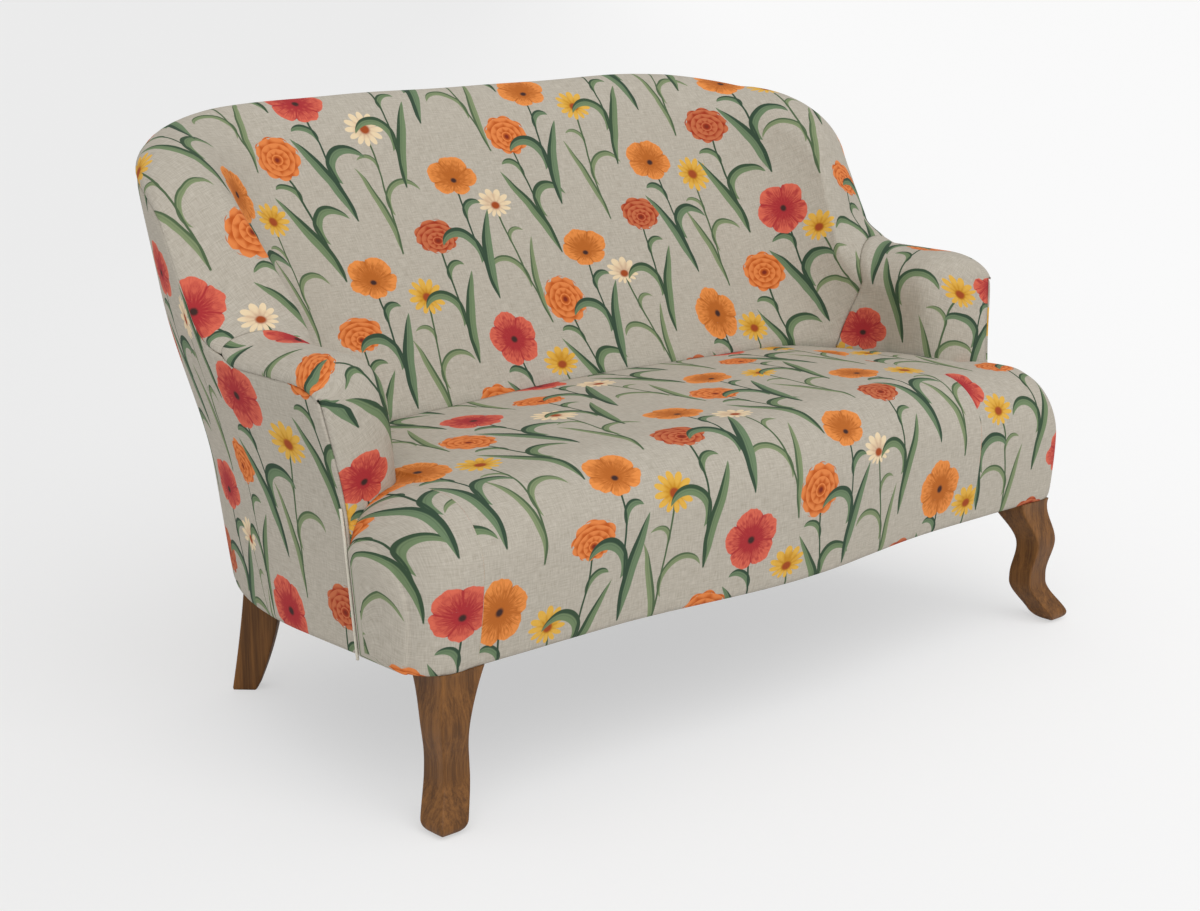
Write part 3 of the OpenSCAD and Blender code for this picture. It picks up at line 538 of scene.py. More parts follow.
@dataclass
class Surface:
    """A shown grid of points and its print coordinates, in millimetres.

    Attributes:
        shown: Points the eye sees, shape (n, m, 3). Outward is minus (along the rows cross along the columns).
        hidden: The lining's points, the same shape.
        uv: Print coordinates of each point, shape (n, m, 2).
        wall_uv: Print coordinates of the hidden points, or None for those of the shown points.
    """

    shown: Array
    hidden: Array
    uv: Array
    wall_uv: Array | None = None

    def normals(self) -> Array:
        """Outward unit normals of the shown grid."""
        n = -np.cross(np.gradient(self.shown, axis=0), np.gradient(self.shown, axis=1))
        return n / np.maximum(1e-9, np.linalg.norm(n, axis=2, keepdims=True))

    def relief(self, edges: Sequence[Edge | None], swell: float, seed: float) -> None:
        """Moves the shown points along their normals: sunk and puckered edges and a slow unevenness.

        Args:
            edges: Edges at the first row, last row, first column and last column, or None.
            swell: Height of the slow unevenness, which fades towards sunk edges.
            seed: Phase of the unevenness.
        """
        rows, columns = run_length(self.shown, 0), run_length(self.shown, 1)
        near = [rows, rows[-1:] - rows, columns, columns[:, -1:] - columns]
        along = [columns, columns, rows, rows]
        lift = np.zeros(self.shown.shape[:2])
        calm = np.ones_like(lift)
        for k, edge in enumerate(edges):
            if edge is None:
                continue
            fall = np.exp(-near[k] / edge.reach)
            lift -= edge.sink * fall
            lift += edge.pucker * np.exp(-near[k] / (1.6 * edge.reach)) * (1 - 0.6 * fall) * ripple(
                along[k] + 0.35 * near[k], edge.pitch, seed + k)
            calm *= 1 - np.exp(-near[k] / 60)
        p = self.shown
        wave = (np.sin(p[..., 0] / 83 + seed) * np.sin(p[..., 2] / 71 + p[..., 1] / 97 + 2 * seed)
                + 0.6 * np.sin(p[..., 0] / 41 + p[..., 2] / 53 + 3 * seed) * np.sin(p[..., 1] / 47 - seed))
        lift += swell * calm * wave
        self.shown = self.shown + self.normals() * lift[..., None]

    def object(self, name: str, mirrored: bool) -> bpy.types.Object:
        """Closed mesh object: shown side, hidden side and the four walls between their edges.

        Args:
            name: Object name.
            mirrored: Whether it is made for the other side.
        Returns:
            The object.
        """
        n, m = self.shown.shape[:2]
        index = np.arange(n * m).reshape(n, m)
        back = index + n * m

        def quads(a: Array, b: Array, c: Array, d: Array) -> Array:
            """Faces from four arrays of corners."""
            return np.stack([a.ravel(), b.ravel(), c.ravel(), d.ravel()], axis=1)

        faces = [quads(index[:-1, :-1], index[:-1, 1:], index[1:, 1:], index[1:, :-1]),
                 quads(back[:-1, :-1], back[1:, :-1], back[1:, 1:], back[:-1, 1:]),
                 quads(index[1:, 0], back[1:, 0], back[:-1, 0], index[:-1, 0]),
                 quads(index[:-1, -1], back[:-1, -1], back[1:, -1], index[1:, -1]),
                 quads(index[0, 1:], index[0, :-1], back[0, :-1], back[0, 1:]),
                 quads(index[-1, :-1], index[-1, 1:], back[-1, 1:], back[-1, :-1])]
        points = np.concatenate([self.shown.reshape(-1, 3), self.hidden.reshape(-1, 3)])
        lining = self.uv if self.wall_uv is None else self.wall_uv
        uv = np.concatenate([self.uv.reshape(-1, 2), lining.reshape(-1, 2)])
        return make_object(name, points, np.concatenate(faces), uv, mirrored)


def make_object(name: str, points: Array, faces: Array, uv: Array | None = None,
                mirrored: bool = False) -> bpy.types.Object:
    """Smooth mesh object from arrays.

    Args:
        name: Object name.
        points: Points in millimetres, shape (n, 3).
        faces: Corner indices, shape (faces, 3 or 4), outward by the right hand.
        uv: Print coordinates of each point in millimetres, or None.
        mirrored: Whether x changes sign, and the faces turn with it.
    Returns:
        The object, linked, in metres.
    """
    if mirrored:
        points, faces = points * [-1, 1, 1], faces[:, ::-1]
    mesh = bpy.data.meshes.new(name)
    count, corners = faces.shape
    mesh.vertices.add(len(points))
    mesh.vertices.foreach_set("co", (points * MM).astype(np.float32).ravel())
    mesh.loops.add(count * corners)
    mesh.loops.foreach_set("vertex_index", faces.astype(np.int32).ravel())
    mesh.polygons.add(count)
    mesh.polygons.foreach_set("loop_start", np.arange(0, count * corners, corners, dtype=np.int32))
    mesh.polygons.foreach_set("use_smooth", np.ones(count, bool))
    mesh.update(calc_edges=True)
    if uv is not None:
        layer = mesh.uv_layers.new(name=PRINT_MAP)
        layer.data.foreach_set("uv", (uv[faces.ravel()] * MM).astype(np.float32).ravel())
    mesh.validate()
    obj = bpy.data.objects.new(name, mesh)
    bpy.context.scene.collection.objects.link(obj)
    return obj


def loft(rings: Array) -> tuple[Array, Array]:
    """Closed skin through rings, with a point in the middle of each end.

    Args:
        rings: Points, shape (rings, corners, 3), each ring counterclockwise seen from the last ring's end.
    Returns:
        Points and triangles.
    """
    n, m = rings.shape[:2]
    i = np.arange(n - 1)[:, None] * m
    j = np.arange(m)[None, :]
    k = (j + 1) % m
    a, b, c, d = (x.ravel() for x in np.broadcast_arrays(i + j, i + k, i + m + k, i + m + j))
    first, last = n * m, n * m + 1
    ring = np.arange(m)
    ends = [np.stack([np.full(m, first), (ring + 1) % m, ring], 1),
            np.stack([np.full(m, last), (n - 1) * m + ring, (n - 1) * m + (ring + 1) % m], 1)]
    faces = np.concatenate([np.stack([a, b, c], 1), np.stack([a, c, d], 1), *ends])
    points = np.concatenate([rings.reshape(-1, 3), rings[0].mean(0)[None], rings[-1].mean(0)[None]])
    return points, faces


# Shader graphs


def plug(tree: bpy.types.NodeTree, socket: bpy.types.NodeSocket, value: object) -> None:
    """Links a wire to a socket, or sets the socket's value.

    Args:
        tree: Tree that holds the socket.
        socket: The socket.
        value: Wire, number, colour or vector.
    """
    if isinstance(value, Wire):
        tree.links.new(value.socket, socket)
    elif isinstance(value, tuple) and socket.type == "RGBA" and len(value) == 3:
        socket.default_value = (*value, 1.0)
    else:
        socket.default_value = value


def add_node(tree: bpy.types.NodeTree, kind: str, settings: dict | None = None,
             inputs: dict | None = None) -> bpy.types.Node:
    """Adds a node to a tree.

    Args:
        tree: The tree.
        kind: Node type.
        settings: Attributes, set first.
        inputs: Socket values or wires, by socket name or index.
    Returns:
        The node.
    """
    node = tree.nodes.new(kind)
    for key, value in (settings or {}).items():
        setattr(node, key, value)
    for key, value in (inputs or {}).items():
        plug(tree, node.inputs[key], value)
    return node


class Wire:
    """A shader value that takes arithmetic; each operation adds one node to the tree."""

    def __init__(self, tree: bpy.types.NodeTree, socket: bpy.types.NodeSocket) -> None:
        """Wraps a socket of the tree."""
        self.tree = tree
        self.socket = socket

    def maths(self, operation: str, *others: "Wire | float") -> "Wire":
        """Math node on this value.

        Args:
            operation: The node's operation.
            others: Further inputs.
        Returns:
            The result.
        """
        node = add_node(self.tree, "ShaderNodeMath", {"operation": operation}, dict(enumerate((self, *others))))
        return Wire(self.tree, node.outputs[0])

    def __add__(self, other: "Wire | float") -> "Wire":
        """Sum."""
        return self.maths("ADD", other)

    __radd__ = __add__

    def __sub__(self, other: "Wire | float") -> "Wire":
        """Difference."""
        return self.maths("SUBTRACT", other)

    def __rsub__(self, other: float) -> "Wire":
        """Difference from a number."""
        return (self * -1) + other

    def __mul__(self, other: "Wire | float") -> "Wire":
        """Product."""
        return self.maths("MULTIPLY", other)

    __rmul__ = __mul__

    def __truediv__(self, other: "Wire | float") -> "Wire":
        """Quotient."""
        return self.maths("DIVIDE", other)

    def __abs__(self) -> "Wire":
        """Size without sign."""
        return self.maths("ABSOLUTE")

    def clamp(self) -> "Wire":
        """This value, held between 0 and 1."""
        return self.maths("MAXIMUM", 0.0).maths("MINIMUM", 1.0)

    def step(self, low: "Wire | float", high: "Wire | float") -> "Wire":
        """Smooth step of this value between two edges.

        Args:
            low: Value at which the step starts.
            high: Value at which it ends.
        Returns:
            The step, 0 to 1.
        """
        smooth = {"interpolation_type": "SMOOTHSTEP"}
        node = add_node(self.tree, "ShaderNodeMapRange", smooth, dict(enumerate((self, low, high))))
        return Wire(self.tree, node.outputs[0])


class Graph:
    """Node tree of one material."""

    def __init__(self, name: str) -> None:
        """Starts a material with an empty tree.

        Args:
            name: Name of the material.
        """
        self.material = bpy.data.materials.new(name)
        self.material.use_nodes = True
        self.tree = self.material.node_tree
        self.tree.nodes.clear()

    def node(self, kind: str, settings: dict | None = None, inputs: dict | None = None) -> bpy.types.Node:
        """Adds a node to this tree, with its settings and then its inputs."""
        return add_node(self.tree, kind, settings, inputs)

    def wire(self, node: bpy.types.Node, output: str | int = 0) -> Wire:
        """An output of a node."""
        return Wire(self.tree, node.outputs[output])

    def split(self, vector: Wire) -> tuple[Wire, Wire, Wire]:
        """The three parts of a vector."""
        node = self.node("ShaderNodeSeparateXYZ", inputs={0: vector})
        return self.wire(node, 0), self.wire(node, 1), self.wire(node, 2)

    def vector(self, x: Wire | float, y: Wire | float, z: Wire | float) -> Wire:
        """A vector from three parts."""
        return self.wire(self.node("ShaderNodeCombineXYZ", inputs={0: x, 1: y, 2: z}))

    def noise(self, vector: Wire, scale: float, detail: float = 2.0) -> Wire:
        """Fractal noise, about 0.5."""
        return self.wire(self.node("ShaderNodeTexNoise", inputs={"Vector": vector, "Scale": scale, "Detail": detail}))

    def random(self, vector: Wire) -> tuple[Wire, Wire, Wire]:
        """Three random numbers for each whole-numbered vector.

        Args:
            vector: The vector.
        Returns:
            The numbers, 0 to 1.
        """
        node = self.node("ShaderNodeTexWhiteNoise", {"noise_dimensions": "3D"}, {"Vector": vector})
        parts = self.node("ShaderNodeSeparateColor", inputs={0: self.wire(node, "Color")})
        return self.wire(parts, 0), self.wire(parts, 1), self.wire(parts, 2)

    def blend(self, share: Wire | float, a: Wire | Colour, b: Wire | Colour) -> Wire:
        """Colour blend from a to b.

        Args:
            share: Share of b.
            a: First colour.
            b: Second colour.
        Returns:
            The colour.
        """
        return self.wire(self.node("ShaderNodeMix", {"data_type": "RGBA"}, {0: share, 6: a, 7: b}), 2)

    def finish(self, colour: Wire | Colour, roughness: Wire | float, height: Wire | None = None, depth: float = 0.0,
               metallic: float = 0.0) -> bpy.types.Material:
        """Ends the tree with a principled shader.

        Args:
            colour: Base colour.
            roughness: Roughness.
            height: Relief, or None.
            depth: Height of the relief in metres.
            metallic: Share of metal.
        Returns:
            The material.
        """
        shader = self.node("ShaderNodeBsdfPrincipled", inputs={
            "Base Color": colour, "Roughness": roughness, "Metallic": metallic, "Specular IOR Level": 0.3})
        if height is not None:
            bump = self.node("ShaderNodeBump", inputs={"Distance": depth, "Height": height})
            self.tree.links.new(bump.outputs[0], shader.inputs["Normal"])
        out = self.node("ShaderNodeOutputMaterial")
        self.tree.links.new(shader.outputs[0], out.inputs[0])
        return self.material


# Finishes


@dataclass(frozen=True)
class Weave:
    """Plain linen: uneven threads both ways, with a thicker slub here and there."""

    light: Colour = srgb(194, 187, 174)
    dark: Colour = srgb(162, 154, 140)
    fine: float = 650.0
    warp_slub: float = 60.0
    weft_slub: float = 50.0

    def threads(self, g: Graph, u: Wire, v: Wire) -> Wire:
        """Brightness of the threads, from noise drawn out along each thread direction.

        Args:
            g: The graph.
            u: Print coordinate across.
            v: Print coordinate up.
        Returns:
            Brightness, about 0.5.
        """
        warp = g.noise(g.vector(u * self.fine, v * self.warp_slub, 0.0), 1.0)
        weft = g.noise(g.vector(u * self.weft_slub, v * self.fine, 3.0), 1.0)
        return (warp + weft) * 0.5

    def build(self) -> bpy.types.Material:
        """Material of the plain cord.

        Returns:
            The material.
        """
        g = Graph("plain_linen")
        x, y, z = g.split(g.wire(g.node("ShaderNodeTexCoord"), "Object"))
        twist = g.noise(g.vector(x * 300, y * 300, (z + x) * 700), 1.0, 1.0)
        return g.finish(g.blend(twist, self.dark, self.light), 0.85, twist, 0.0006)


class Bloom(Enum):
    """Kinds of flower head of the print."""

    POPPY = "poppy"
    DAHLIA = "dahlia"
    DAISY = "daisy"


@dataclass(frozen=True)
class Sprig:
    """One flowering stem of the print; it repeats on a half-drop net with random lean, size and colour.

    Lengths are in metres. The stem stands in its own cell, with the head near the cell's top.
    """

    bloom: Bloom
    shift: tuple[float, float]
    radius: float
    warm: Colour
    warm_alt: Colour
    centre: Colour
    leaf: Colour
    leaf_light: Colour
    seed: float
    lean: float
    leaf_w: float
    share: float


@dataclass(frozen=True)
class Leaf:
    """Leaf painted along a middle line; lengths in metres.

    Attributes:
        width: Share of the sprig's leaf width.
        plump: Power that rounds the leaf between its ends.
        rib: Distance of the rib from the middle line.
        rib_w: Softness of the rib.
    """

    width: float = 1.0
    plump: float = 0.75
    rib: float = 0.0008
    rib_w: float = 0.0026

    def line(self, x: Wire, y: Wire) -> tuple[Wire, Wire]:
        """Share of the way along the middle line and the distance beside it, set by each kind of leaf.

        Args:
            x: Place across, from the stem.
            y: Place up.
        Returns:
            The share, 0 to 1, and the distance.
        """
        raise NotImplementedError

    def paint(self, g: Graph, ground: Wire, x: Wire, y: Wire, sprig: Sprig) -> Wire:
        """Paints the leaf.

        Args:
            g: The graph.
            ground: Colour painted so far.
            x: Place across, from the stem.
            y: Place up.
            sprig: The sprig.
        Returns:
            The new colour.
        """
        t, off = self.line(x, y)
        belly = (t * (1 - t) * 4).maths("POWER", self.plump) * (sprig.leaf_w * self.width)
        shade = g.blend(off.step(-0.002, 0.003), sprig.leaf, sprig.leaf_light)
        leaf = g.blend(abs(off + self.rib).step(0.0, self.rib_w), sprig.leaf_light, shade)
        return g.blend((belly - abs(off)).step(0.0, 0.0010), ground, leaf)


@dataclass(frozen=True)
class Lance(Leaf):
    """Leaf that rises from the stem's foot and bows out from the stem."""

    tip: float = 0.016
    bow: float = 0.046

    def line(self, x: Wire, y: Wire) -> tuple[Wire, Wire]:
        """A curve whose distance from the stem grows with a power of the height.

        Args:
            x: Place across, from the stem.
            y: Place up.
        Returns:
            The share, 0 to 1, and the distance.
        """
        t = ((y - STEM_FOOT) / (self.tip - STEM_FOOT)).clamp()
        return t, x - t.maths("POWER", 1.9) * self.bow


@dataclass(frozen=True)
class Curl(Leaf):
    """Leaf that rises from the stem and droops over, along an arc; angles in radians.

    Attributes:
        middle: Middle of the arc, from the stem.
        radius: Radius of the arc.
        start: Angle of the leaf's foot, clockwise from straight up.
        sweep: Angle that the leaf covers.
        way: Side of the stem, as a sign.
    """

    plump: float = 0.7
    rib: float = 0.0006
    rib_w: float = 0.0024
    middle: tuple[float, float] = (0.022, 0.010)
    radius: float = 0.022
    start: float = -2.0
    sweep: float = 2.7
    way: int = 1

    def line(self, x: Wire, y: Wire) -> tuple[Wire, Wire]:
        """An arc; the distance is that to its middle, taken from its radius.

        Args:
            x: Place across, from the stem.
            y: Place up.
        Returns:
            The share, 0 to 1, and the distance.
        """
        dx, dy = x * self.way - self.middle[0], y - self.middle[1]
        t = ((dx.maths("ARCTAN2", dy) - self.start) / self.sweep).clamp()
        return t, self.radius - (dx * dx + dy * dy).maths("SQRT")


@dataclass(frozen=True)
class Bud:
    """What the petals of a head are painted from, as shader values.

    Attributes:
        angle: Angle round the heart.
        r: Distance from the head's middle.
        core: Distance from the heart, which is seen a little from the side.
        rough: Fine unevenness, about nought.
        deep: Colour deep in the flower.
        pale: Colour at its lightest.
    """

    angle: Wire
    r: Wire
    core: Wire
    rough: Wire
    deep: Wire
    pale: Wire


@dataclass(frozen=True)
class Petals:
    """Painted petals of a head, as shader values.

    Attributes:
        edge: Radius of the head in each direction.
        tone: Colour of the petals.
        eye: Radius of the dark eye.
        ring: Radius of the ring round it.
    """

    edge: Wire
    tone: Wire
    eye: float
    ring: float


@dataclass(frozen=True)
class FloralPrint:
    """Painted garden flowers on linen: three kinds of sprig on one half-drop net.

    Lengths are in metres. The net is moved on by whole cells, so that no cell has a number below nought.
    """

    pitch_u: float = 0.222
    pitch_v: float = 0.300
    stray_u: float = 0.022
    stray_v: float = 0.024
    cells_on: int = 40
    head_y: float = 0.080
    stem_r: float = 0.0021
    sway: float = 0.006
    sway_rate: float = 13.0
    drift_u: float = 0.010
    drift_v: float = 0.006
    wear: float = 0.30
    highlight: Colour = srgb(240, 188, 128)
    weave: Weave = field(default_factory=Weave)
    leaves: tuple[Leaf, ...] = (
        Lance(), Curl(0.85, middle=(0.036, -0.052), radius=0.036, start=-2.2, sweep=3.3, way=-1), Curl(0.6))
    sprigs: tuple[Sprig, ...] = (
        Sprig(Bloom.DAISY, (0.148, 0.200), 0.035, srgb(214, 166, 36), srgb(226, 212, 180), srgb(158, 70, 26),
              srgb(76, 96, 66), srgb(126, 140, 102), 5.0, lean=-0.12, leaf_w=0.0070, share=0.66),
        Sprig(Bloom.DAHLIA, (0.074, 0.100), 0.043, srgb(216, 104, 26), srgb(176, 56, 24), srgb(122, 38, 16),
              srgb(54, 76, 54), srgb(110, 130, 94), 11.0, lean=0.10, leaf_w=0.0102, share=0.55),
        Sprig(Bloom.POPPY, (0.0, 0.0), 0.049, srgb(206, 48, 56), srgb(224, 122, 30), srgb(60, 36, 32),
              srgb(50, 72, 54), srgb(104, 126, 94), 17.0, lean=0.07, leaf_w=0.0112, share=0.62),
    )

    def cell(self, g: Graph, u: Wire, v: Wire, sprig: Sprig) -> tuple[Wire, Wire, tuple[Wire, Wire, Wire]]:
        """Place within the sprig's cell, and the cell's random numbers.

        Args:
            g: The graph.
            u: Print coordinate across.
            v: Print coordinate up.
            sprig: The sprig.
        Returns:
            x and y from the cell's middle in metres, and three random numbers.
        """
        across = (u + (sprig.shift[0] + self.cells_on * self.pitch_u)) / self.pitch_u
        column = across.maths("FLOOR")
        up = (v + (sprig.shift[1] + self.cells_on * self.pitch_v)) / self.pitch_v + column * 0.5
        row = up.maths("FLOOR")
        chance = g.random(g.vector(column, row, sprig.seed))
        x = (across - column - 0.5) * self.pitch_u + (chance[0] - 0.5) * self.stray_u
        y = (up - row - 0.5) * self.pitch_v + (chance[1] - 0.5) * self.stray_v
        way = (chance[2] - 0.5).maths("SIGN")
        return x * way, y, chance

    def head(self, g: Graph, ground: Wire, x: Wire, y: Wire, chance: tuple[Wire, Wire, Wire], sprig: Sprig) -> Wire:
        """Paints the flower head round its middle.

        Args:
            g: The graph.
            ground: Colour painted so far.
            x: Place across from the head's middle.
            y: Place up from the head's middle.
            chance: The cell's random numbers.
            sprig: The sprig.
        Returns:
            The new colour.
        """
        squash = y * (chance[2] * 0.5 + 1.0)
        r = (x * x + squash * squash).maths("SQRT")
        low = squash + chance[2] * sprig.radius * 0.3
        core = (x * x + low * low).maths("SQRT")
        angle = x.maths("ARCTAN2", low) + chance[0] * 6.0
        rough = g.noise(g.vector(x * 60, y * 60, chance[1] * 9), 1.0) - 0.5
        hue = g.blend(chance[1].step(sprig.share, sprig.share + 0.01), sprig.warm, sprig.warm_alt)
        deep, pale = g.blend(0.42, hue, sprig.centre), g.blend(0.22, hue, self.highlight)
        petals = self.petals(g, sprig, Bud(angle, r, core, rough, deep, pale), chance[0])
        painted = g.blend((petals.edge - r).step(0.0, 0.0012), ground, petals.tone)
        dots = abs((angle * 11).maths("SINE")) * 0.3 * (petals.ring - petals.eye) + petals.ring
        heart = g.blend((petals.eye - core).step(-0.002, 0.003), deep, sprig.centre)
        return g.blend((dots - core).step(0.0, 0.003), painted, heart)

    def petals(self, g: Graph, sprig: Sprig, bud: Bud, chance: Wire) -> Petals:
        """Petals of one kind of flower.

        Args:
            g: The graph.
            sprig: The sprig.
            bud: What the petals are painted from.
            chance: A random number of the cell.
        Returns:
            The petals.
        """
        rim = sprig.radius
        if sprig.bloom is Bloom.POPPY:
            lobes = abs((bud.angle * 2.5).maths("COSINE"))
            edge = (lobes.maths("POWER", 0.5) * 0.2 + 0.8 + bud.rough * 0.22) * rim
            veins = g.noise(g.vector((bud.angle * 9).maths("SINE"), bud.r * 40, chance * 5), 2.2) - 0.5
            tone = g.blend((bud.r / rim + veins * 1.3).step(0.25, 1.05), bud.deep, bud.pale)
            return Petals(edge, g.blend(lobes.step(0.0, 0.22), bud.deep, tone), rim * 0.13, rim * 0.26)
        if sprig.bloom is Bloom.DAHLIA:
            whorl = bud.core / (rim * 0.24)
            lobes = abs((bud.angle * 4.5 + whorl.maths("FLOOR") * 1.1).maths("COSINE"))
            tone = g.blend((whorl.maths("FRACT") + lobes * 0.5 + bud.rough).step(0.2, 1.1), bud.deep, bud.pale)
            return Petals((lobes * 0.13 + 0.87) * rim, tone, rim * 0.12, rim * 0.2)
        lobes = abs((bud.angle * 6.0).maths("COSINE"))
        tone = g.blend((bud.r / rim + lobes * 0.3 + bud.rough).step(0.2, 1.0), bud.deep, bud.pale)
        return Petals((lobes.maths("POWER", 0.7) * 0.45 + 0.55) * rim, tone, rim * 0.26, rim * 0.33)

    def bend(self, y: Wire | float, chance: tuple[Wire, Wire, Wire], sprig: Sprig) -> Wire:
        """How far the stem stands to the side at a height: a slow sway and the sprig's lean.

        Args:
            y: Place up.
            chance: The cell's random numbers.
            sprig: The sprig.
        Returns:
            The distance.
        """
        wave = (chance[1] * 5 + y * self.sway_rate).maths("SINE") * self.sway
        return wave + (chance[0] + 0.4) * (y * sprig.lean)

    def plant(self, g: Graph, ground: Wire, x: Wire, y: Wire, chance: tuple[Wire, Wire, Wire], sprig: Sprig) -> Wire:
        """Paints one whole sprig: the leaves, the stem and the head.

        Args:
            g: The graph.
            ground: Colour painted so far.
            x: Place across in the cell.
            y: Place up in the cell.
            chance: The cell's random numbers.
            sprig: The sprig.
        Returns:
            The new colour.
        """
        stem, colour = x - self.bend(y, chance, sprig), ground
        for leaf in self.leaves:
            colour = leaf.paint(g, colour, stem, y, sprig)
        shaft = (self.stem_r - abs(stem)).step(0.0, 0.0008)
        shaft = shaft * (y - STEM_FOOT).step(0.0, 0.004) * (self.head_y - y).step(0.0, 0.002)
        colour = g.blend(shaft, colour, sprig.leaf)
        return self.head(g, colour, x - self.bend(self.head_y, chance, sprig), y - self.head_y, chance, sprig)

    def build(self) -> bpy.types.Material:
        """Material of the printed cloth, on the print coordinates, a little worn where threads stand high.

        Returns:
            The material.
        """
        g = Graph("printed_linen")
        u, v, _ = g.split(g.wire(g.node("ShaderNodeUVMap", {"uv_map": PRINT_MAP})))
        drift = g.noise(g.vector(u * 14, v * 14, 0.0), 1.0, 1.0) - 0.5
        threads = self.weave.threads(g, u, v)
        cloth = g.blend(threads.step(0.22, 0.78), self.weave.dark, self.weave.light)
        colour = cloth
        for sprig in self.sprigs:
            x, y, chance = self.cell(g, u + drift * self.drift_u, v + drift * self.drift_v, sprig)
            colour = self.plant(g, colour, x, y, chance, sprig)
        worn = g.blend(threads.step(0.62, 0.80) * self.wear, colour, cloth)
        return g.finish(worn, 0.88, threads, 0.00035)


@dataclass(frozen=True)
class Timber:
    """Wood with straight grain drawn out along one axis, on object coordinates."""

    name: str
    light: Colour
    dark: Colour
    along: int = 2
    roughness: float = 0.5

    def build(self) -> bpy.types.Material:
        """The material: broad bands, fine bands and pores, all drawn out along the grain.

        Returns:
            The material.
        """
        g = Graph(self.name)
        parts = g.split(g.wire(g.node("ShaderNodeTexCoord"), "Object"))
        grain = [g.noise(g.vector(*(p * (down if k == self.along else wide) for k, p in enumerate(parts))), 1.0)
                 for wide, down in ((70.0, 2.5), (320.0, 7.0), (1100.0, 30.0))]
        shade = (grain[0] * 0.9 + grain[1] * 0.8 + grain[2] * 0.5).step(0.75, 1.45)
        return g.finish(g.blend(shade, self.dark, self.light), self.roughness, grain[2], 0.0002)


@dataclass(frozen=True)
class Plain:
    """A plain finish with a fine unevenness."""

    name: str
    light: Colour
    dark: Colour
    roughness: float
    metallic: float = 0.0
    scale: float = 600.0

    def build(self) -> bpy.types.Material:
        """The material, a blend of its two tones.

        Returns:
            The material.
        """
        g = Graph(self.name)
        place = g.wire(g.node("ShaderNodeTexCoord"), "Object")
        grain = g.noise(place, self.scale)
        return g.finish(g.blend(grain, self.dark, self.light), self.roughness, grain, 0.0004, self.metallic)


FINISHES: dict[Slot, FloralPrint | Weave | Timber | Plain] = {
    Slot.PRINT: FloralPrint(),
    Slot.PIPING: Weave(light=srgb(226, 220, 206), dark=srgb(196, 188, 172)),
    Slot.DUST: Plain("dust_cloth", srgb(52, 52, 55), srgb(34, 34, 37), 0.95),
    Slot.JUTE: Plain("jute", srgb(176, 146, 104), srgb(128, 102, 68), 0.95, scale=400.0),
    Slot.STEEL: Plain("steel", srgb(168, 170, 174), srgb(140, 142, 146), 0.35, metallic=1.0),
    Slot.OAK: Timber("oak", srgb(132, 87, 41), srgb(84, 52, 21)),
    Slot.BEECH: Timber("beech", srgb(206, 172, 128), srgb(178, 140, 98), along=0, roughness=0.7),
}


class Wardrobe:
    """Builds each finish once and dresses pieces with it."""

    def __init__(self) -> None:
        """Builds every finish."""
        self.materials = {slot: finish.build() for slot, finish in FINISHES.items()}

    def dress(self, obj: bpy.types.Object, slot: Slot) -> None:
        """Gives a new piece the finish of its slot.

        Args:
            obj: The piece.
            slot: The slot.
        """
        obj.data.materials.clear()
        obj.data.materials.append(self.materials[slot])

    def dress_frame(self) -> int:
        """Gives every node of the frame the finish of its slot.

        Returns:
            The number of nodes.
        """
        for part in frame["record"]["subparts"]:
            node = frame["nodes"][part["node"]]
            for place in node.material_slots:
                place.material = self.materials[Slot(part["material_slot"])]
        return len(frame["record"]["subparts"])


# Pieces


@dataclass
class Piece:
    """Common work of the pieces that stand for the frame's solids."""

    body: Body
    wardrobe: Wardrobe

    def tie(self, obj: bpy.types.Object, slot: Slot, node: str) -> bpy.types.Object:
        """Dresses a piece and ties it to the frame.

        Args:
            obj: The piece.
            slot: Its slot.
            node: The solid it stands for.
        Returns:
            The piece.
        """
        self.wardrobe.dress(obj, slot)
        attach(obj, "root")
        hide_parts(node)
        log.info("%s: %d faces", obj.name, len(obj.data.polygons))
        return obj

    def tie_loft(self, rings: Array, name: str, slot: Slot, node: str, side: Side) -> bpy.types.Object:
        """Makes a piece from its rings and ties it to the frame.

        Args:
            rings: The rings, for the right-hand side.
            name: Object name.
            slot: Its slot.
            node: The solid it stands for.
            side: LEFT mirrors it.
        Returns:
            The piece.
        """
        points, faces = loft(rings)
        return self.tie(make_object(name, points, faces, mirrored=side is Side.LEFT), slot, node)


@dataclass
class SoftPiece(Piece):
    """Common work of the upholstered pieces."""

    fill: float = 0.95

    def place(self, surface: Surface, name: str, node: str, side: Side = Side.RIGHT) -> bpy.types.Object:
        """Makes the piece and ties it to the frame.

        Args:
            surface: The piece's surface, for the right-hand side.
            name: Object name.
            node: The solid it stands for.
            side: LEFT mirrors it.
        Returns:
            The object.
        """
        obj = self.tie(surface.object(name, side is Side.LEFT), Slot.PRINT, node)
        return obj


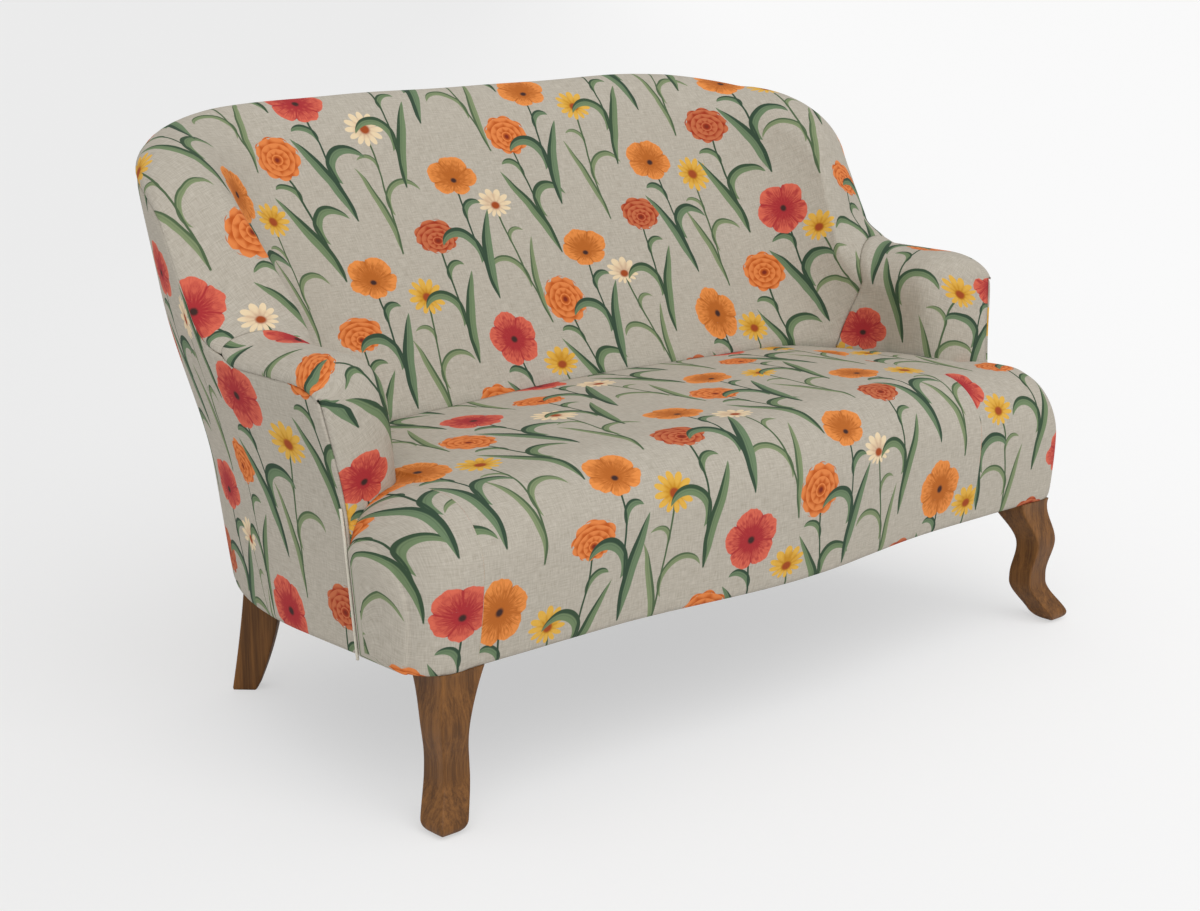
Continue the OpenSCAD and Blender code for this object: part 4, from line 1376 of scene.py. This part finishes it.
@dataclass
class Padding(SoftPiece):
    """Inside back with its wings, and the inside arms: cloth from the outer seam over the crest to the seat."""

    roll_rows: int = 26
    face_rows: int = 48
    join_top: float = 2.0
    join_low: float = 1.5
    slit: float = 0.0012
    roll_slide: float = 0.25
    lid_ahead: float = 0.09
    lid_lip: float = 4.0
    lid_rise: float = 2.2
    wing_thin: float = 22.0
    back_stations: int = 241
    arm_stations: int = 64
    nose_turns: Array = field(
        default_factory=lambda: np.append(np.linspace(0, 66, 15)[1:], np.linspace(66, 90, 13)[1:]))
    arm_print: tuple[float, float] = (677.0, 50.0)
    seam_edge: Edge = Edge(sink=2.6, reach=7.0, pucker=0.7, pitch=31.0)
    arm_edge: Edge = Edge(sink=1.2, reach=5.0, pucker=0.5, pitch=31.0)
    join_edge: Edge = Edge(sink=5.0, reach=11.0, pucker=0.9, pitch=37.0)

    @property
    def level(self) -> int:
        """Row at the level of the seat join."""
        return self.roll_rows + round(self.face_rows * self.body.face_turn)

    def rows(self) -> tuple[Array, Array]:
        """Places of the points of a section.

        Returns:
            Roll angle in degrees and share of the inside face, for each point.
        """
        roll = np.concatenate([np.linspace(0, 180, self.roll_rows + 1), np.full(self.face_rows, 180.0)])
        face = np.concatenate([np.zeros(self.roll_rows + 1), np.linspace(0, 1, self.face_rows + 1)[1:]])
        return roll, face

    def grid(self, s: Array, low: Array, keep: Array, forward: Array, hidden: bool) -> Array:
        """Section points at crest stations.

        The section starts at the outer seam, turns over the crest as half an ellipse and runs down the inside face,
        while its station slides from s to low.

        Args:
            s: Crest stations.
            low: Stations at the seat.
            keep: Share of the width kept at each station.
            forward: How far each station is moved forward.
            hidden: Whether the lining is wanted.
        Returns:
            Points, shape (stations, rows, 3).
        """
        b = self.body
        roll, face = self.rows()
        s, low, keep, forward = (np.asarray(a)[:, None] for a in (s, low, keep, forward))
        m = np.abs(s)
        u = mix(s, low, ease(np.minimum(1, self.roll_slide * roll / 180 + (1 - self.roll_slide) * face)))
        h = b.crest(m)
        up = np.sin(np.radians(roll))
        if hidden:
            near = np.minimum(h, b.crest(m + self.lid_ahead))
            lid = near - b.top_pad
            base = np.where(roll < 90, np.minimum(b.seam(m), lid + self.lid_lip), near - b.in_drop(m))
            base = np.where(roll == 0, b.seam(m), base)
            top = mix(base, lid, np.minimum(1, self.lid_rise * up))
        else:
            top = h - np.where(roll < 90, b.out_drop(m), b.in_drop(m)) * (1 - up)
        z = np.where(face < b.face_turn, mix(top, b.join_z, face / b.face_turn),
                     mix(b.join_z, b.seat_foot, (face - b.face_turn) / (1 - b.face_turn)))
        k = (1 - np.cos(np.radians(roll))) / 2 * keep
        if hidden:
            outside = b.outer(u, z, b.hide_t)
            side_pad = mix(b.arm_pad - self.wing_thin, b.arm_pad, b.wingness(np.abs(u) * 1.1))
            inside = b.inner(u, z, side_pad, b.frame_y(z) - b.in_y(z))
        else:
            outside, inside = b.outer(u, z, 0.0), b.inner(u, z, 0.0, 0.0)
        p = mix(outside, inside, k[..., None])
        p[..., 1] += forward
        p[..., 2] = z
        return p

    def along_crest(self, start: float, end: float, samples: int, count: int) -> Array:
        """Stations spaced evenly along the middle line of the crest.

        Args:
            start: First station.
            end: Last station.
            samples: Number of points at which the line is measured.
            count: Number of stations wanted.
        Returns:
            The stations.
        """
        s = np.linspace(start, end, samples)
        h = self.body.crest(np.abs(s))
        line = mix(self.body.outer(s, h, 0.0), self.body.inner(s, h, 0.0, 0.0), 0.5)
        return even_stations(line, s, count)

    def build_back(self) -> bpy.types.Object:
        """The inside back and both wings, in one piece.

        Returns:
            The object.
        """
        end = self.join_top - self.slit
        half = self.along_crest(0, end, 3000, self.back_stations // 2 + 1)
        s = np.concatenate([-half[:0:-1], half])
        low = s * (self.join_low - self.slit) / end
        one = np.ones_like(s)
        shown = self.grid(s, low, one, 0 * one, False)
        hidden = self.grid(s, low, one, 0 * one, True)
        middle = len(half) - 1
        surface = Surface(shown, hidden, lay_flat(shown, upright(shown, self.level, middle), middle))
        surface.relief([self.join_edge, self.join_edge, self.seam_edge, None], 1.3, 0.7)
        return self.place(surface, "inside_back_cloth", "inside_back_pad")

    def build_arm(self, side: Side) -> bpy.types.Object:
        """One inside arm, with the padded front of the arm.

        Args:
            side: The side.
        Returns:
            The object.
        """
        b = self.body
        along = self.along_crest(self.join_top + self.slit, 3, 1500, self.arm_stations)
        wide, ahead = b.cap(self.nose_turns)
        s = np.concatenate([along, np.full(len(wide), 3.0)])
        low = mix(self.join_low + self.slit, 3, (s - self.join_top) / (3 - self.join_top))
        straight = np.ones(len(along))
        forward = np.concatenate([0 * straight, -ahead])
        keep = np.concatenate([straight, mix(b.hide_t / b.arm_w, 1, wide)])
        shown = self.grid(s, low, keep, b.cap_r * forward, False)
        inner_keep = np.concatenate([straight, mix(0.08, 1, wide)])
        hidden = self.grid(s, low, inner_keep, (b.cap_r - b.face_pad) * forward, True)
        self.round_nose(shown[len(along):], keep[len(along):, None], ahead[:, None])
        outer = hidden[len(along):, :self.roll_rows // 2]
        outer[..., 2] = np.maximum(outer[..., 2], b.seam(np.float64(3.0)))
        last = len(along) - 1
        uv = lay_flat(shown, upright(shown, self.level, last), last, columns=46, rows=39)
        surface = Surface(shown, hidden, uv * [-side.value, 1] + self.arm_print)
        surface.relief([self.join_edge, None, self.arm_edge, None], 1.0, 2.3 + side.value)
        return self.place(surface, f"inside_arm_cloth_{side.word}", f"inside_arm_pad_{side.word}", side)

    def round_nose(self, nose: Array, keep: Array, ahead: Array) -> None:
        """Lets the roll over the arm fall towards the front, and sets it in under the outer seam.

        Args:
            nose: Shown points of the stations round the front, changed in place.
            keep: Share of the width kept at each station, as a column.
            ahead: Share of the way forward at each station, as a column.
        """
        b = self.body
        roll = nose[:, :self.roll_rows + 1]
        seam, fall, high = b.seam(np.float64(3.0)), b.nose(ahead), roll[..., 2].copy()
        z = mix(seam, high, mix(0.1, 1, keep)) - fall
        edge = b.out_w(seam - fall) - b.nose_set * np.linspace(0, 8, self.roll_rows + 1)
        roll[..., 0] = np.minimum(roll[..., 0] + b.out_w(z) - b.out_w(high), edge)
        roll[..., 1] += b.arm_lean * (z - high)
        roll[..., 2] = z


@dataclass
class OutsidePanels(SoftPiece):
    """Flat covered panels of the outside back and outside arms."""

    fill: float = 1.0
    split: float = 0.985
    rows: int = 60
    back_stations: int = 91
    arm_stations: int = 130
    level_z: float = 300.0
    back_print: float = 200.0
    arm_print: float = 900.0
    clearance: float = 0.3
    edge: Edge = Edge(sink=2.0, reach=7.0, pucker=0.6, pitch=31.0)
    hem: Edge = Edge(sink=1.6, reach=4.0, pucker=0.2, pitch=90.0)

    def grid(self, u: Array, off: float) -> Array:
        """Points from the underside up to the outer seam.

        Args:
            u: Stations; past 3 they run on round the front of the arm.
            off: How far the points are moved inwards.
        Returns:
            Points, shape (stations, rows, 3).
        """
        b = self.body
        k = np.linspace(0, 1, self.rows)[None]
        ahead = np.maximum(0, np.abs(u) - 3)[:, None]
        m = np.minimum(3, np.abs(u))[:, None]
        z = mix(b.under_h, b.seam(m) - b.nose(ahead) - self.clearance - b.nose_gap * ahead, k)
        p = b.outer(np.sign(u)[:, None] * m, z, off)
        p[..., 1] = np.where(ahead > 0, b.arm_y(z) + b.gap + (b.cap_r - b.gap) * (1 - ahead), p[..., 1])
        return p

    def surface(self, u: Array, way: float, start: float) -> Surface:
        """Panel surface over stations u, with the print upright.

        Args:
            u: Stations.
            way: Sign of the print across.
            start: Print coordinate of the first station.
        Returns:
            The surface.
        """
        shown = self.grid(u, 0.0)
        across = run_length(shown, 0)
        middle = across[:, self.rows // 2:self.rows // 2 + 1]
        uv = np.stack([start + way * np.broadcast_to(middle, across.shape), shown[..., 2]], axis=-1)
        return Surface(shown, self.grid(u, self.body.panel_t), uv)

    def build_back(self) -> bpy.types.Object:
        """The outside back.

        Returns:
            The object.
        """
        surface = self.surface(np.linspace(-self.split, self.split, self.back_stations), -1, self.back_print)
        surface.relief([None, None, self.hem, self.edge], 0.5, 1.1)
        return self.place(surface, "outside_back_cloth", "outside_back_panel")

    def build_arm(self, side: Side) -> bpy.types.Object:
        """One outside arm with the side of its wing.

        Args:
            side: The side.
        Returns:
            The object.
        """
        line = np.linspace(self.split + 0.001, 3.0, 3000)
        h = self.body.seam(line)
        top = even_stations(self.body.outer(line, h, 0.0), line, self.arm_stations)
        foot = even_stations(self.body.outer(line, np.full_like(line, self.level_z), 0.0), line, self.arm_stations)
        ahead = 3 + np.sin(np.radians(np.linspace(0, 90, 25)[1:]))
        surface = self.surface(np.concatenate([0.5 * (top + foot), ahead]), side.value * -1, self.arm_print)
        rear, front = Edge(sink=1.0, reach=6.0), Edge(sink=0.6, reach=4.0)
        surface.relief([rear, front, self.hem, self.edge], 0.6, 3.7 + side.value)
        return self.place(surface, f"outside_arm_cloth_{side.word}", f"outside_arm_panel_{side.word}", side)


@dataclass
class Seat(SoftPiece):
    """Tight seat with a rolled front and ears round the front of the arms."""

    top_rows: int = 40
    roll_rows: int = 26
    face_rows: int = 24
    ear_r: float = 80.0
    joins: tuple[float, float] = (-590.0, 436.0)
    join_shifts: tuple[float, float] = (-370.0, 123.0)
    back_drop: float = 12.0
    tuck: float = 0.6
    tip_set: float = 2.5
    tip_reach: float = 11.5
    tip_fall: float = 42.0
    tip_points: int = 14
    hem: Edge = Edge(sink=2.0, reach=5.0, pucker=0.5, pitch=120.0)

    def back_y(self, x: Array, z: Array) -> Array:
        """Rear edge of the seat: along the back's rounded foot, then round the front of the arm.

        Args:
            x: Stations.
            z: Heights.
        Returns:
            The y of the edge.
        """
        b = self.body
        thin = b.hide_t / b.arm_w
        e = np.maximum(0, (np.abs(x) - b.inner_half + b.inner_cx) / b.inner_cx)
        reach = b.out_w(z) - b.inner_half
        w = np.clip(((b.out_w(z) - np.abs(x)) / reach - thin) / (1 - thin), 0, 1)
        inside = b.in_y(b.join_z) - b.inner_cy * (1 - np.sqrt(np.clip(1 - e * e, 0, 1))) - b.foot_gap - 3 * e
        round_arm = b.arm_y(z) + b.cap_r - b.cap_r * (1 - w ** b.cap_n) ** (1 / b.cap_n) - 2 * b.gap
        return np.where(np.abs(x) < b.inner_half - 0.2, inside, round_arm)

    def rows(self) -> tuple[Array, Array, Array]:
        """Places of the points of a section.

        Returns:
            Share of the top, roll angle in degrees and share of the front face, for each point.
        """
        top, roll, face = self.top_rows, self.roll_rows, self.face_rows
        a = np.concatenate([np.linspace(0, 1, top + 1), np.ones(roll + face)])
        b = np.concatenate([np.zeros(top), np.linspace(0, 90, roll + 1), np.full(face, 90.0)])
        k = np.concatenate([np.zeros(top + roll), np.linspace(0, 1, face + 1)])
        return a, b, k

    def shown(self, x: Array, place: Array, inset: Array) -> Array:
        """Sections from the foot of the back over the roll to the hem.

        Args:
            x: Station of each section.
            place: x at which the section is put.
            inset: How far the section is drawn in.
        Returns:
            Points, shape (stations, rows, 3).
        """
        b = self.body
        x, place, inset = x[:, None], place[:, None], inset[:, None]
        a, turn, k = self.rows()
        e = np.clip((np.abs(x) - b.half + self.ear_r) / self.ear_r, 0, 1)
        crown = b.seat_h - b.seat_fall * (x / b.half) ** 2 - self.ear_r * (1 - np.sqrt(1 - 0.98 * e * e)) - inset
        f = b.front_y(np.minimum(b.half - 1, np.abs(x))) - b.belly + inset
        yb = self.back_y(x, crown - self.back_drop) - inset * self.tuck
        r = np.minimum(b.nose_r, 0.8 * (yb - f))
        angle = np.radians(turn)
        y0 = mix(yb, f + r, a) - r * np.sin(angle)
        z0 = crown - self.back_drop * (1 - a) ** 3 - r * (1 - np.cos(angle))
        y = y0 + b.belly * k ** 1.6 * (1 - 0.6 * e)
        z = mix(z0, b.under_h + 0.3 * inset, k)
        return np.stack([place + 0 * y, y, z + 0 * y], axis=-1)

    def lining(self, x: Array) -> Array:
        """Underside and back of the front face.

        Args:
            x: Stations.
        Returns:
            Points, shape (stations, rows, 3).
        """
        b = self.body
        x = x[:, None]
        j = np.arange(self.top_rows + self.roll_rows + self.face_rows + 1)[None]
        lid = self.top_rows + self.roll_rows
        k = np.maximum(0, (j - lid) / self.face_rows)
        front = b.front_y(np.minimum(b.half - 1, np.abs(x))) + b.apron
        foot = np.float64(b.seat_foot)
        y = mix(self.back_y(x, foot), front, np.minimum(1, j / lid))
        return np.stack([x + 0 * y, y, mix(b.seat_foot, b.under_h, k) + 0 * y], axis=-1)

    def stations(self) -> Array:
        """Stations over the half seat, close together where the plan turns and at the joins of the cloth.

        Returns:
            The stations.
        """
        b = self.body
        bend = b.inner_half - b.inner_cx
        turn = np.radians(np.linspace(0, 80, 18)[1:])
        caps = b.cap(np.array([8, 16, 24, 33, 42, 50, 57, 63, 67]))[0]
        thin = b.hide_t / b.arm_w
        cuts = np.abs(self.joins)[:, None] + [-0.3, 0.3]
        return np.unique(np.concatenate([
            np.linspace(0, bend, 60), bend + (b.inner_cx - 1.2) * np.sin(turn), cuts.ravel(),
            [b.inner_half - 1.2, b.inner_half - 0.1], b.half - b.arm_w * mix(thin, 1, caps),
            b.half - b.corner_r * (1 - np.linspace(0.36, 0.955, 14))]))

    def tip(self) -> tuple[Array, Array]:
        """Rounded outer end of the right-hand ear.

        Returns:
            Shown and hidden points, each of shape (stations, rows, 3).
        """
        turn = np.pi / 2 * np.linspace(0, 1, self.tip_points)
        edge = np.full_like(turn, self.body.half - self.tip_set)
        place = edge + self.tip_reach * np.sin(turn)
        inset = self.tip_fall * (1 - np.cos(turn)) ** 1.15
        shown = self.shown(edge, place, inset)
        last = shown[:, -1]
        share = np.linspace(0, 1, shown.shape[1])[None]
        back = self.back_y(edge, last[:, 2])[:, None] - inset[:, None] * self.tuck
        y = mix(back, last[:, 1:2] + 1, share)
        z = last[:, 2:3] + 0.4 * (1 - share)
        return shown, np.stack([np.broadcast_to(place[:, None], y.shape), y, z], axis=-1)

    def print_place(self, shown: Array, middle: int) -> Array:
        """Print coordinates: the length along the front and up from the hem, set over at the joins of the cloth.

        Args:
            shown: Shown points, shape (stations, rows, 3).
            middle: Station in the middle of the seat.
        Returns:
            Coordinates, shape (stations, rows, 2).
        """
        down = run_length(shown, 1)
        half = self.face_rows // 2
        across = run_length(shown[:, -half:-half + 1], 0)
        across = across - across[middle]
        place = shown[:, :1, 0]
        across = across + np.where(place < self.joins[0], self.join_shifts[0], 0.0)
        across = across + np.where(place > self.joins[1], self.join_shifts[1], 0.0)
        return np.stack([across + 0 * down, down[:, -1:] - down], axis=-1)

    def build(self) -> bpy.types.Object:
        """The seat, with the cloth of each ear joined on at a seam down the front.

        Returns:
            The object.
        """
        x = self.stations()
        tip_shown, tip_hidden = self.tip()
        right = np.concatenate([self.shown(x, x, 0 * x), tip_shown])
        right_low = np.concatenate([self.lining(x), tip_hidden])
        flip = np.array([-1.0, 1.0, 1.0])
        shown = np.concatenate([right[:0:-1] * flip, right])
        hidden = np.concatenate([right_low[:0:-1] * flip, right_low])
        uv = self.print_place(shown, len(right) - 1)
        wall = uv.copy()
        for end, way in ((0, -1), (-1, 1)):
            depth = hidden[end, :, 1] - shown[end, -4, 1]
            rise = hidden[end, :, 2] - shown[end, -1, 2]
            wall[end] = np.stack([uv[end, 0, 0] + way * depth, uv[end, -1, 1] + rise], axis=1)
        surface = Surface(shown, hidden, uv, wall)
        surface.relief([None, None, None, self.hem], 1.2, 4.9)
        return self.place(surface, "seat_cloth", "seat_pad")


@dataclass
class Piping(Piece):
    """Pale cord in the seam between the seat's ear and the outside of the arm."""

    radius: float = 2.3
    hang: float = 5.0
    short: float = 30.0
    stand: float = 0.6
    sink: float = 0.3
    rings: int = 90
    corners: int = 12

    def build(self, side: Side) -> bpy.types.Object:
        """One cord, a round tube with a slight twist ridge, hanging just below the hem.

        Args:
            side: The side.
        Returns:
            The object.
        """
        b = self.body
        z = np.linspace(b.under_h - self.hang, b.join_z - self.short, self.rings)[:, None]
        turn = np.linspace(0, 2 * np.pi, self.corners, endpoint=False)[None]
        r = self.radius * (0.94 + 0.06 * np.cos(3 * turn + z * 0.9))
        x = b.out_w(z) + self.radius + self.stand + r * np.cos(turn)
        y = b.arm_y(z) + self.radius - self.sink + r * np.sin(turn)
        rings = np.stack([x, y, z + 0 * x], axis=-1)
        return self.tie_loft(rings, f"piping_{side.word}", Slot.PIPING, f"front_piping_{side.word}", side)


@dataclass
class Legs(Piece):
    """Cabriole front legs with rounded arrises, and sabre rear legs with eased edges."""

    toe_x: float = 659.0
    toe_back: float = 36.0
    knee_w: float = 73.0
    ankle_w: float = 44.0
    toe_w: float = 47.0
    toe_h: float = 18.0
    swell_z: float = 100.0
    ankle_slide: float = -42.0
    ankle_z: float = 70.0
    calf_slide: float = 11.0
    calf_z: float = 80.0
    calf_run: float = 55.0
    knee_slide: float = -32.0
    knee_z: float = 135.0
    set_in: float = 3.0
    front_soft: float = 20.0
    rear_soft: float = 14.0
    sabre_top: float = 58.0
    sabre_foot: float = 38.0
    sabre_t: float = 36.0
    sabre_kick: float = 27.0
    sabre_in: float = 8.0
    sole_h: float = 3.0
    sole_ease: float = 1.2
    rear_x: float = 128.0
    rear_y: float = 47.0
    rings: int = 90

    @property
    def top(self) -> float:
        """Height of the legs."""
        return self.body.under_h - 0.3

    def rounded(self, half_x: Array, half_y: Array, soft: float) -> Array:
        """Rounded rectangle by angle: a superellipse, with its points crowded at the corners.

        Args:
            half_x: Half size along x for each ring.
            half_y: Half size along y for each ring.
            soft: Superellipse power.
        Returns:
            Offsets, shape (rings, points, 2).
        """
        even = np.linspace(0, 360, 64, endpoint=False)
        corner = np.round((even - 45) / 90) * 90 + 45
        away = (even - corner) / 45
        a = np.radians(corner + 45 * np.sign(away) * np.abs(away) ** 1.9)[None]
        c, s = np.cos(a), np.sin(a)
        r = (np.abs(c) ** soft + np.abs(s) ** soft) ** (-1 / soft)
        return np.stack([half_x[:, None] * r * c, half_y[:, None] * r * s], axis=-1)

    def front_rings(self) -> Array:
        """Rings of a front leg: a square section that slides along the outward diagonal in an S.

        Returns:
            Points, shape (rings, corners, 3).
        """
        toe = self.toe_h
        z = np.concatenate([toe * (1 - np.cos(np.linspace(0, np.pi / 2, 12))),
                            np.linspace(toe, self.top, self.rings)[1:]])
        knee = self.knee_slide * ease((z - self.knee_z) / (self.top - self.knee_z))
        slide = self.ankle_slide * ease(z / self.ankle_z) + self.calf_slide * ease((z - self.calf_z) / self.calf_run)
        slide = (slide + knee - self.set_in) * math.sqrt(0.5)
        wide = (mix(self.ankle_w, self.knee_w, np.clip((z - self.swell_z) / (self.top - self.swell_z), 0, 1) ** 1.9)
                + (self.toe_w - self.ankle_w) * (1 - ease((z - toe) / (self.swell_z - toe))))
        wide = wide * np.sqrt(1 - 0.93 * (np.maximum(0, toe - z) / toe) ** 2) / 2
        flat = self.rounded(wide, wide, self.front_soft)
        x = self.toe_x + slide[:, None] + flat[..., 0]
        y = self.body.front + self.toe_back - slide[:, None] + flat[..., 1]
        return np.stack([x, y, z[:, None] + 0 * x], axis=-1)

    def rear_rings(self) -> Array:
        """Rings of a rear leg: a flat board whose profile sweeps out to the rear corner.

        Returns:
            Points, shape (rings, corners, 3).
        """
        z = np.linspace(0, self.top, self.rings)
        k = 1 - z / self.top
        outer = self.sabre_kick * k ** 1.4 - self.sabre_in
        inner = -self.sabre_in - self.sabre_top + (self.sabre_top + self.sabre_kick - self.sabre_foot) * k ** 2
        eased = np.where(z < self.sole_h, self.sole_ease * (1 - z / self.sole_h), 0)
        flat = self.rounded((outer - inner) / 2 - eased, np.full_like(z, self.sabre_t / 2) - eased, self.rear_soft)
        along = (outer + inner)[:, None] / 2 + flat[..., 0]
        thick = -self.sabre_t / 2 + flat[..., 1]
        c = math.sqrt(0.5)
        foot_x = self.body.half - self.rear_x
        foot_y = self.body.out_y(np.float64(self.body.under_h)) - self.rear_y
        x = foot_x + c * (along + thick)
        y = foot_y + c * (along - thick)
        return np.stack([x, y, z[:, None] + 0 * x], axis=-1)

    def build(self, front: bool, side: Side) -> bpy.types.Object:
        """One leg.

        Args:
            front: Whether it is a front leg.
            side: The side.
        Returns:
            The object.
        """
        rings = self.front_rings() if front else self.rear_rings()[:, ::-1]
        word = "front" if front else "rear"
        return self.tie_loft(rings, f"{word}_leg_wood_{side.word}", Slot.OAK, f"{word}_leg_{side.word}", side)


@dataclass
class Studio:
    """Pale floor that runs to the horizon, soft light and the camera."""

    span: float = 60.0
    camera_at: tuple[float, float, float] = (-2.3087, -2.4860, 1.1950)
    camera_turn: tuple[float, float, float] = (75.682, 0.0, -42.360)
    lens: float = 66.0
    sensor: float = 36.0
    clip_end: float = 200.0
    sky: float = 0.62
    sun: float = 1.35
    sun_width: float = 70.0
    sun_turn: tuple[float, float, float] = (38.0, -12.0, -5.0)
    glow: float = 0.55
    fade: tuple[float, float] = (-2.6, 2.4)
    fade_lean: float = 0.9
    left: Colour = srgb(238, 238, 238)
    right: Colour = srgb(253, 253, 253)

    def floor(self) -> bpy.types.Object:
        """The floor: pale grey to the left of the view, near white to the right.

        Returns:
            The object.
        """
        s = self.span / MM
        points = np.array([[-s, -s, 0], [s, -s, 0], [s, s, 0], [-s, s, 0]], float)
        obj = make_object("floor", points, np.array([[0, 1, 2, 3]]))
        g = Graph("floor")
        x, y, _ = g.split(g.wire(g.node("ShaderNodeTexCoord"), "Object"))
        tone = g.blend((x - y * self.fade_lean).step(*self.fade), self.left, self.right)
        g.finish(tone, 0.9)
        seen = g.wire(g.node("ShaderNodeLightPath"), "Is Camera Ray") * self.glow
        pale = g.node("ShaderNodeEmission", inputs={"Color": tone, "Strength": 1.0})
        out = g.tree.nodes["Material Output"]
        lit = g.wire(g.tree.nodes["Principled BSDF"])
        both = g.node("ShaderNodeMixShader", inputs={0: seen, 1: lit, 2: g.wire(pale)})
        g.tree.links.new(both.outputs[0], out.inputs[0])
        obj.data.materials.append(g.material)
        obj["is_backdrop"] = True
        return obj

    def lights(self) -> None:
        """A white world and a broad sun from the upper left front."""
        world = bpy.data.worlds.new("studio")
        bpy.context.scene.world = world
        world.use_nodes = True
        background = world.node_tree.nodes["Background"]
        background.inputs[0].default_value = (1.0, 1.0, 1.0, 1.0)
        path = add_node(world.node_tree, "ShaderNodeLightPath")
        seen = Wire(world.node_tree, path.outputs["Is Camera Ray"]) * (1 - self.sky) + self.sky
        plug(world.node_tree, background.inputs[1], seen)
        lamp = bpy.data.lights.new("sun", "SUN")
        lamp.energy = self.sun
        lamp.angle = math.radians(self.sun_width)
        obj = bpy.data.objects.new("sun", lamp)
        obj.rotation_euler = tuple(math.radians(a) for a in self.sun_turn)
        bpy.context.scene.collection.objects.link(obj)

    def camera(self) -> None:
        """The camera of the photograph."""
        data = bpy.data.cameras.new("camera")
        data.lens = self.lens
        data.sensor_width = self.sensor
        data.clip_end = self.clip_end
        obj = bpy.data.objects.new("camera", data)
        obj.location = self.camera_at
        obj.rotation_euler = tuple(math.radians(a) for a in self.camera_turn)
        bpy.context.scene.collection.objects.link(obj)
        bpy.context.scene.camera = obj

    def build(self) -> None:
        """Floor, lights, camera and plain colour management."""
        self.floor()
        self.lights()
        self.camera()
        bpy.context.scene.view_settings.view_transform = "Standard"


def corners() -> list[list[float]]:
    """Corners of the shown object, as plain lists."""
    return [list(map(float, corner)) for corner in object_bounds()]


def main() -> None:
    """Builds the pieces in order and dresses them."""
    logging.basicConfig(level=logging.INFO, format="%(message)s")
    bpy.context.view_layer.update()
    body, wardrobe = Body(), Wardrobe()
    log.info("%d nodes of the frame dressed", wardrobe.dress_frame())
    padding, panels = Padding(body, wardrobe), OutsidePanels(body, wardrobe)
    Seat(body, wardrobe).build()
    padding.build_back()
    panels.build_back()
    piping, legs = Piping(body, wardrobe), Legs(body, wardrobe)
    for side in Side:
        padding.build_arm(side)
        panels.build_arm(side)
        piping.build(side)
        legs.build(True, side)
        legs.build(False, side)
    Studio().build()


if __name__ == "__main__":
    main()
